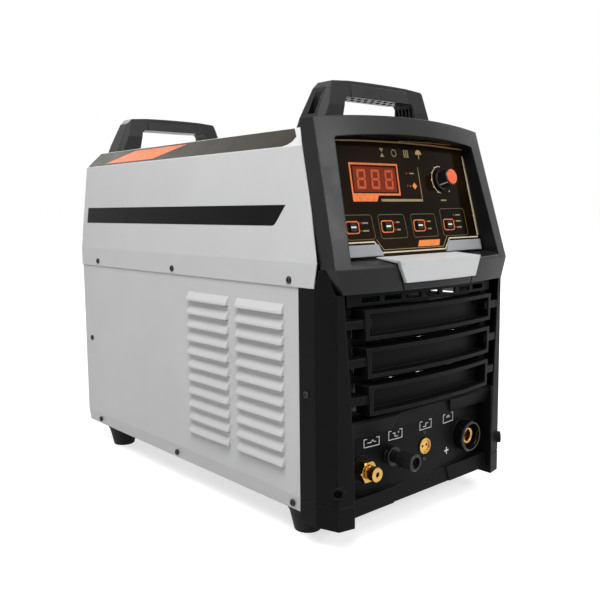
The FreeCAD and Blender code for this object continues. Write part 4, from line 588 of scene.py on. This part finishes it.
def button_print(index, low, high, top):
    """One button's outline, its ring, its bar and the dashes beside its lamps."""
    x, up = BUTTON_AT[0] + BUTTON_PITCH * index, BUTTON_AT[1]
    word = index + 1
    group = rounded([(low, 3), (high, 3), (high - 2.5, top), (low - 1.2, top)], 4)
    panel_line(f"group_{word}", group, 0.8, DIM_TAN, closed=True)
    ring = rounded(rectangle(x - 9.6, up - 6.4, x + 9.6, up + 6.4), 3.2)
    panel_line(f"ring_{word}", ring, 1.2, ORANGE, closed=True)
    bar = [on_panel(x + dx, up + dy, ON_BUTTON) for dx, dy in rectangle(-3.9, -0.9, 3.9, 0.9)]
    plate(f"button_bar_{word}", bar, PANEL_OUT * PRINT, WHITE, f"button_{word}")
    rows = (21, 12.5) if index < 3 else (28, 20.5, 13)
    long = 9.5 if index in (0, 3) else 6
    for row, height in enumerate(rows):
        dash = rectangle(x + 15, height - 0.8, x + 15 + long, height + 0.8)
        panel_plate(f"dash_{word}_{row + 1}", dash, TAN)


def small_signs():
    """Four small generic signs: an hourglass, a ring, three bars and an umbrella."""
    up = SIGN_UP
    panel_plate("sign_glass_top", [(-35.4, up + 5), (-28.4, up + 5), (-31.9, up + 0.4)], TAN)
    panel_plate("sign_glass_foot", [(-35.4, up - 5), (-31.9, up - 0.4), (-28.4, up - 5)], TAN)
    panel_line("sign_ring", arc(-11.5, up, 3.9, 0, 340, 17), 1.0, TAN, closed=True)
    for index in range(3):
        x = 6.2 + 3.2 * index
        panel_plate(f"sign_bar_{index + 1}", rectangle(x - 0.9, up - 4.6, x + 0.9, up + 4.6), TAN)
    panel_plate("sign_umbrella", arc(32, up, 5.6, -90, 90, 10), GOLD)
    panel_plate("sign_stick", rectangle(31.5, up - 5.2, 32.5, up + 0.1), GOLD)


def knob_pointer():
    """A painted line down the knob's side, between two of its flutes."""
    sine, cosine = math.sin(POINTER_TURN), math.cos(POINTER_TURN)
    ends = []
    for radius, out in KNOB_SIDE:
        middle = Vector((KNOB_AT[0] + radius * sine, KNOB_AT[1] + radius * cosine))
        across = Vector((cosine, -sine)) * POINTER_HALF
        ends.append([on_panel(*(middle + across * way), out) for way in (-1, 1)])
    outline = [ends[0][0], ends[0][1], ends[1][1], ends[1][0]]
    outward = ((ends[0][0] + ends[0][1]) / 2 - on_panel(*KNOB_AT, KNOB_SIDE[0][1])).normalized()
    plate("knob_pointer", outline, outward * FILM_THICK, CREAM, "current_knob")


def gauge_marks():
    """The scale of the pressure gauge: longer and shorter marks over three quarters of a turn."""
    for index in range(GAUGE_MARKS):
        turn = math.radians(-135 + GAUGE_STEP * index)
        inner = 15.3 if index % 2 else 14
        outline = []
        for radius, way in ((inner, -1), (inner, 1), (16.6, 1), (16.6, -1)):
            x = GAUGE_AT[0] + radius * math.sin(turn) + way * MARK_HALF * math.cos(turn)
            z = GAUGE_AT[1] + radius * math.cos(turn) - way * MARK_HALF * math.sin(turn)
            outline.append(Vector((x, DIAL_FACE, z)) * MM)
        plate(f"gauge_mark_{index + 1}", outline, Vector((0, PRINT, 0)), BLACK_INK)


panel_borders()
display_print()
knob_scale()
knob_pointer()
gauge_marks()
small_signs()
for index, (low, high) in enumerate(((-106.4, -62.7), (-53.4, -8.7), (2, 46.5), (56.4, 105))):
    button_print(index, low, high, 36 if index == 3 else 30)


# Seven-segment figures behind the display window's face

def segments(wide, tall):
    """The outlines of one figure's seven segments: bars with slanted ends and gaps between them."""
    bar, gap = 2.7, 0.4
    half = tall / 2
    upper = [(0, tall - gap), (bar, tall - gap - bar), (bar, half + gap + bar / 2), (0, half + gap)]
    top = [(gap, tall), (wide - gap, tall), (wide - gap - bar, tall - bar), (gap + bar, tall - bar)]
    middle = [(gap + bar * 0.4, half), (gap + bar, half + bar / 2),
              (wide - gap - bar, half + bar / 2), (wide - gap - bar * 0.4, half),
              (wide - gap - bar, half - bar / 2), (gap + bar, half - bar / 2)]
    turned = [[(wide - x, tall - y) for x, y in shape] for shape in (upper, top)]
    across = [[(wide - x, y) for x, y in upper], [(x, tall - y) for x, y in upper]]
    return [top, middle, upper] + turned + across


def display_figures():
    """Three leaning figures, every segment unlit."""
    first, pitch, low, lean = -78.5, 22.5, 59, 0.08
    for figure in range(3):
        for index, shape in enumerate(segments(13.5, 22)):
            outline = [(first + pitch * figure + x + y * lean, low + y) for x, y in shape]
            panel_plate(f"figure_{figure + 1}_{index + 1}", outline, MAROON, BEHIND_WINDOW)


display_figures()


# Marks on the connector panel

FRONT = Vector((0, -1, 0)) * PRINT


def recess_line(name, points, width=0.8):
    stroke(name, points, width, lambda x, z: on_recess(x, z, ON_RECESS), FRONT, WHITE)


def bracket(name, low_x, high_x, low, high):
    """An open-topped frame round a small sign."""
    lip = (high_x - low_x) * 0.2
    recess_line(name, [(low_x + lip, high), (low_x, high), (low_x, low), (high_x, low), (high_x, high),
                       (high_x - lip, high)])


def connector_marks():
    """A generic sign in a frame over each connector, and the output socket's plus."""
    bracket("mark_torch", -89.7, -68, 98, 107)
    recess_line("mark_torch_sign", [(-85, 102.5), (-80, 102.5), (-77.5, 105), (-75, 102.5), (-72.5, 102.5)])
    bracket("mark_pilot", -53.5, -32.5, 99.5, 109.5)
    recess_line("mark_pilot_sign", [(-47.5, 106.5), (-43.8, 106.5), (-43.8, 102.5), (-39, 102.5)])
    recess_line("mark_pilot_dot", [(-39, 106.6), (-37.4, 106.6)], 1.6)
    bracket("mark_trigger", -1.9, 19.2, 101, 110.7)
    recess_line("mark_trigger_sign", [(4, 104), (8.7, 104), (8.7, 107.5), (13.5, 107.5)])
    bracket("mark_output", 43.7, 64.3, 99.8, 110)
    for index, radius in enumerate((2.2, 3.6)):
        recess_line(f"mark_output_ring_{index + 1}", arc(54, 104.4, radius, -75, 75, 8), 0.7)
    plus = [(-4.3, -0.8), (-0.8, -0.8), (-0.8, -4.3), (0.8, -4.3), (0.8, -0.8), (4.3, -0.8),
            (4.3, 0.8), (0.8, 0.8), (0.8, 4.3), (-0.8, 4.3), (-0.8, 0.8), (-4.3, 0.8)]
    plate("mark_plus", [on_recess(51.1 + x, 64.6 + z, ON_RECESS) for x, z in plus], FRONT, WHITE)


connector_marks()


# Floor, backdrop and light

def seen_share(tree):
    """1 for what the camera sees itself, in a mirror or through glass, and 0 for light on the object."""
    path = tree.nodes.new("ShaderNodeLightPath")
    shown = path.outputs["Is Camera Ray"]
    for ray in ("Is Glossy Ray", "Is Transmission Ray"):
        either = tree.nodes.new("ShaderNodeMath")
        either.operation = "MAXIMUM"
        tree.links.new(shown, either.inputs[0])
        tree.links.new(path.outputs[ray], either.inputs[1])
        shown = either.outputs[0]
    return shown


def stage_floor():
    """A pale matt floor: white to the camera far off, and taking the object's shadow near it."""
    n = Nodes("floor_white")
    grain = n.noise(30, 3, 0.5)
    shade = n.mix(n.span(grain, 0, 1, 0.3, 0.7), (0.52, 0.52, 0.52), (0.5, 0.5, 0.5))
    material = n.finish(shade, n.span(grain, 0.7, 0.8, 0.3, 0.7), edge=0, Specular_IOR_Level=0.1)
    away = n.tree.nodes.new("ShaderNodeVectorMath")
    away.operation = "LENGTH"
    n.put(away.inputs[0], n.coordinates)
    lift = n.span(away.outputs["Value"], *FLOOR_GLOW, *FLOOR_FADE)
    n.shader.inputs["Emission Color"].default_value = (1, 1, 1, 1)
    n.put(n.shader.inputs["Emission Strength"], n.math("MULTIPLY", seen_share(n.tree), lift))
    mesh = bpy.data.meshes.new("floor")
    corners = [(x, y, 0) for x, y in rectangle(-FLOOR_HALF, -FLOOR_HALF, FLOOR_HALF, FLOOR_HALF)]
    mesh.from_pydata(corners, [], [(0, 1, 2, 3)])
    mesh.materials.append(material)
    floor = bpy.data.objects.new("floor", mesh)
    scene.collection.objects.link(floor)


def studio_world():
    """An even backdrop: weak as light on the object, and white where it is seen."""
    world = bpy.data.worlds.new("studio")
    scene.world = world
    world.use_nodes = True
    tree = world.node_tree
    back = tree.nodes["Background"]
    back.inputs["Color"].default_value = (1, 1, 1, 1)
    level = tree.nodes.new("ShaderNodeMapRange")
    level.inputs["To Min"].default_value = WORLD_LIGHT
    level.inputs["To Max"].default_value = WORLD_SEEN
    tree.links.new(seen_share(tree), level.inputs["Value"])
    tree.links.new(level.outputs["Result"], back.inputs["Strength"])


def soft_box(name, azimuth, elevation, distance, width, height, power):
    """A soft light, its azimuth in degrees from the front towards the right."""
    turn, rise = math.radians(azimuth), math.radians(elevation)
    toward = Vector((math.sin(turn) * math.cos(rise), -math.cos(turn) * math.cos(rise), math.sin(rise)))
    data = bpy.data.lights.new(name, "AREA")
    data.shape = "RECTANGLE"
    data.size, data.size_y, data.energy = width, height, power
    light = bpy.data.objects.new(name, data)
    light.location = Vector(LAMPS_AIM) + toward * distance
    light.rotation_euler = (-toward).to_track_quat("-Z", "Y").to_euler()
    scene.collection.objects.link(light)


stage_floor()
studio_world()
for lamp in LAMPS:
    soft_box(*lamp)

scene.view_settings.view_transform = "Standard"
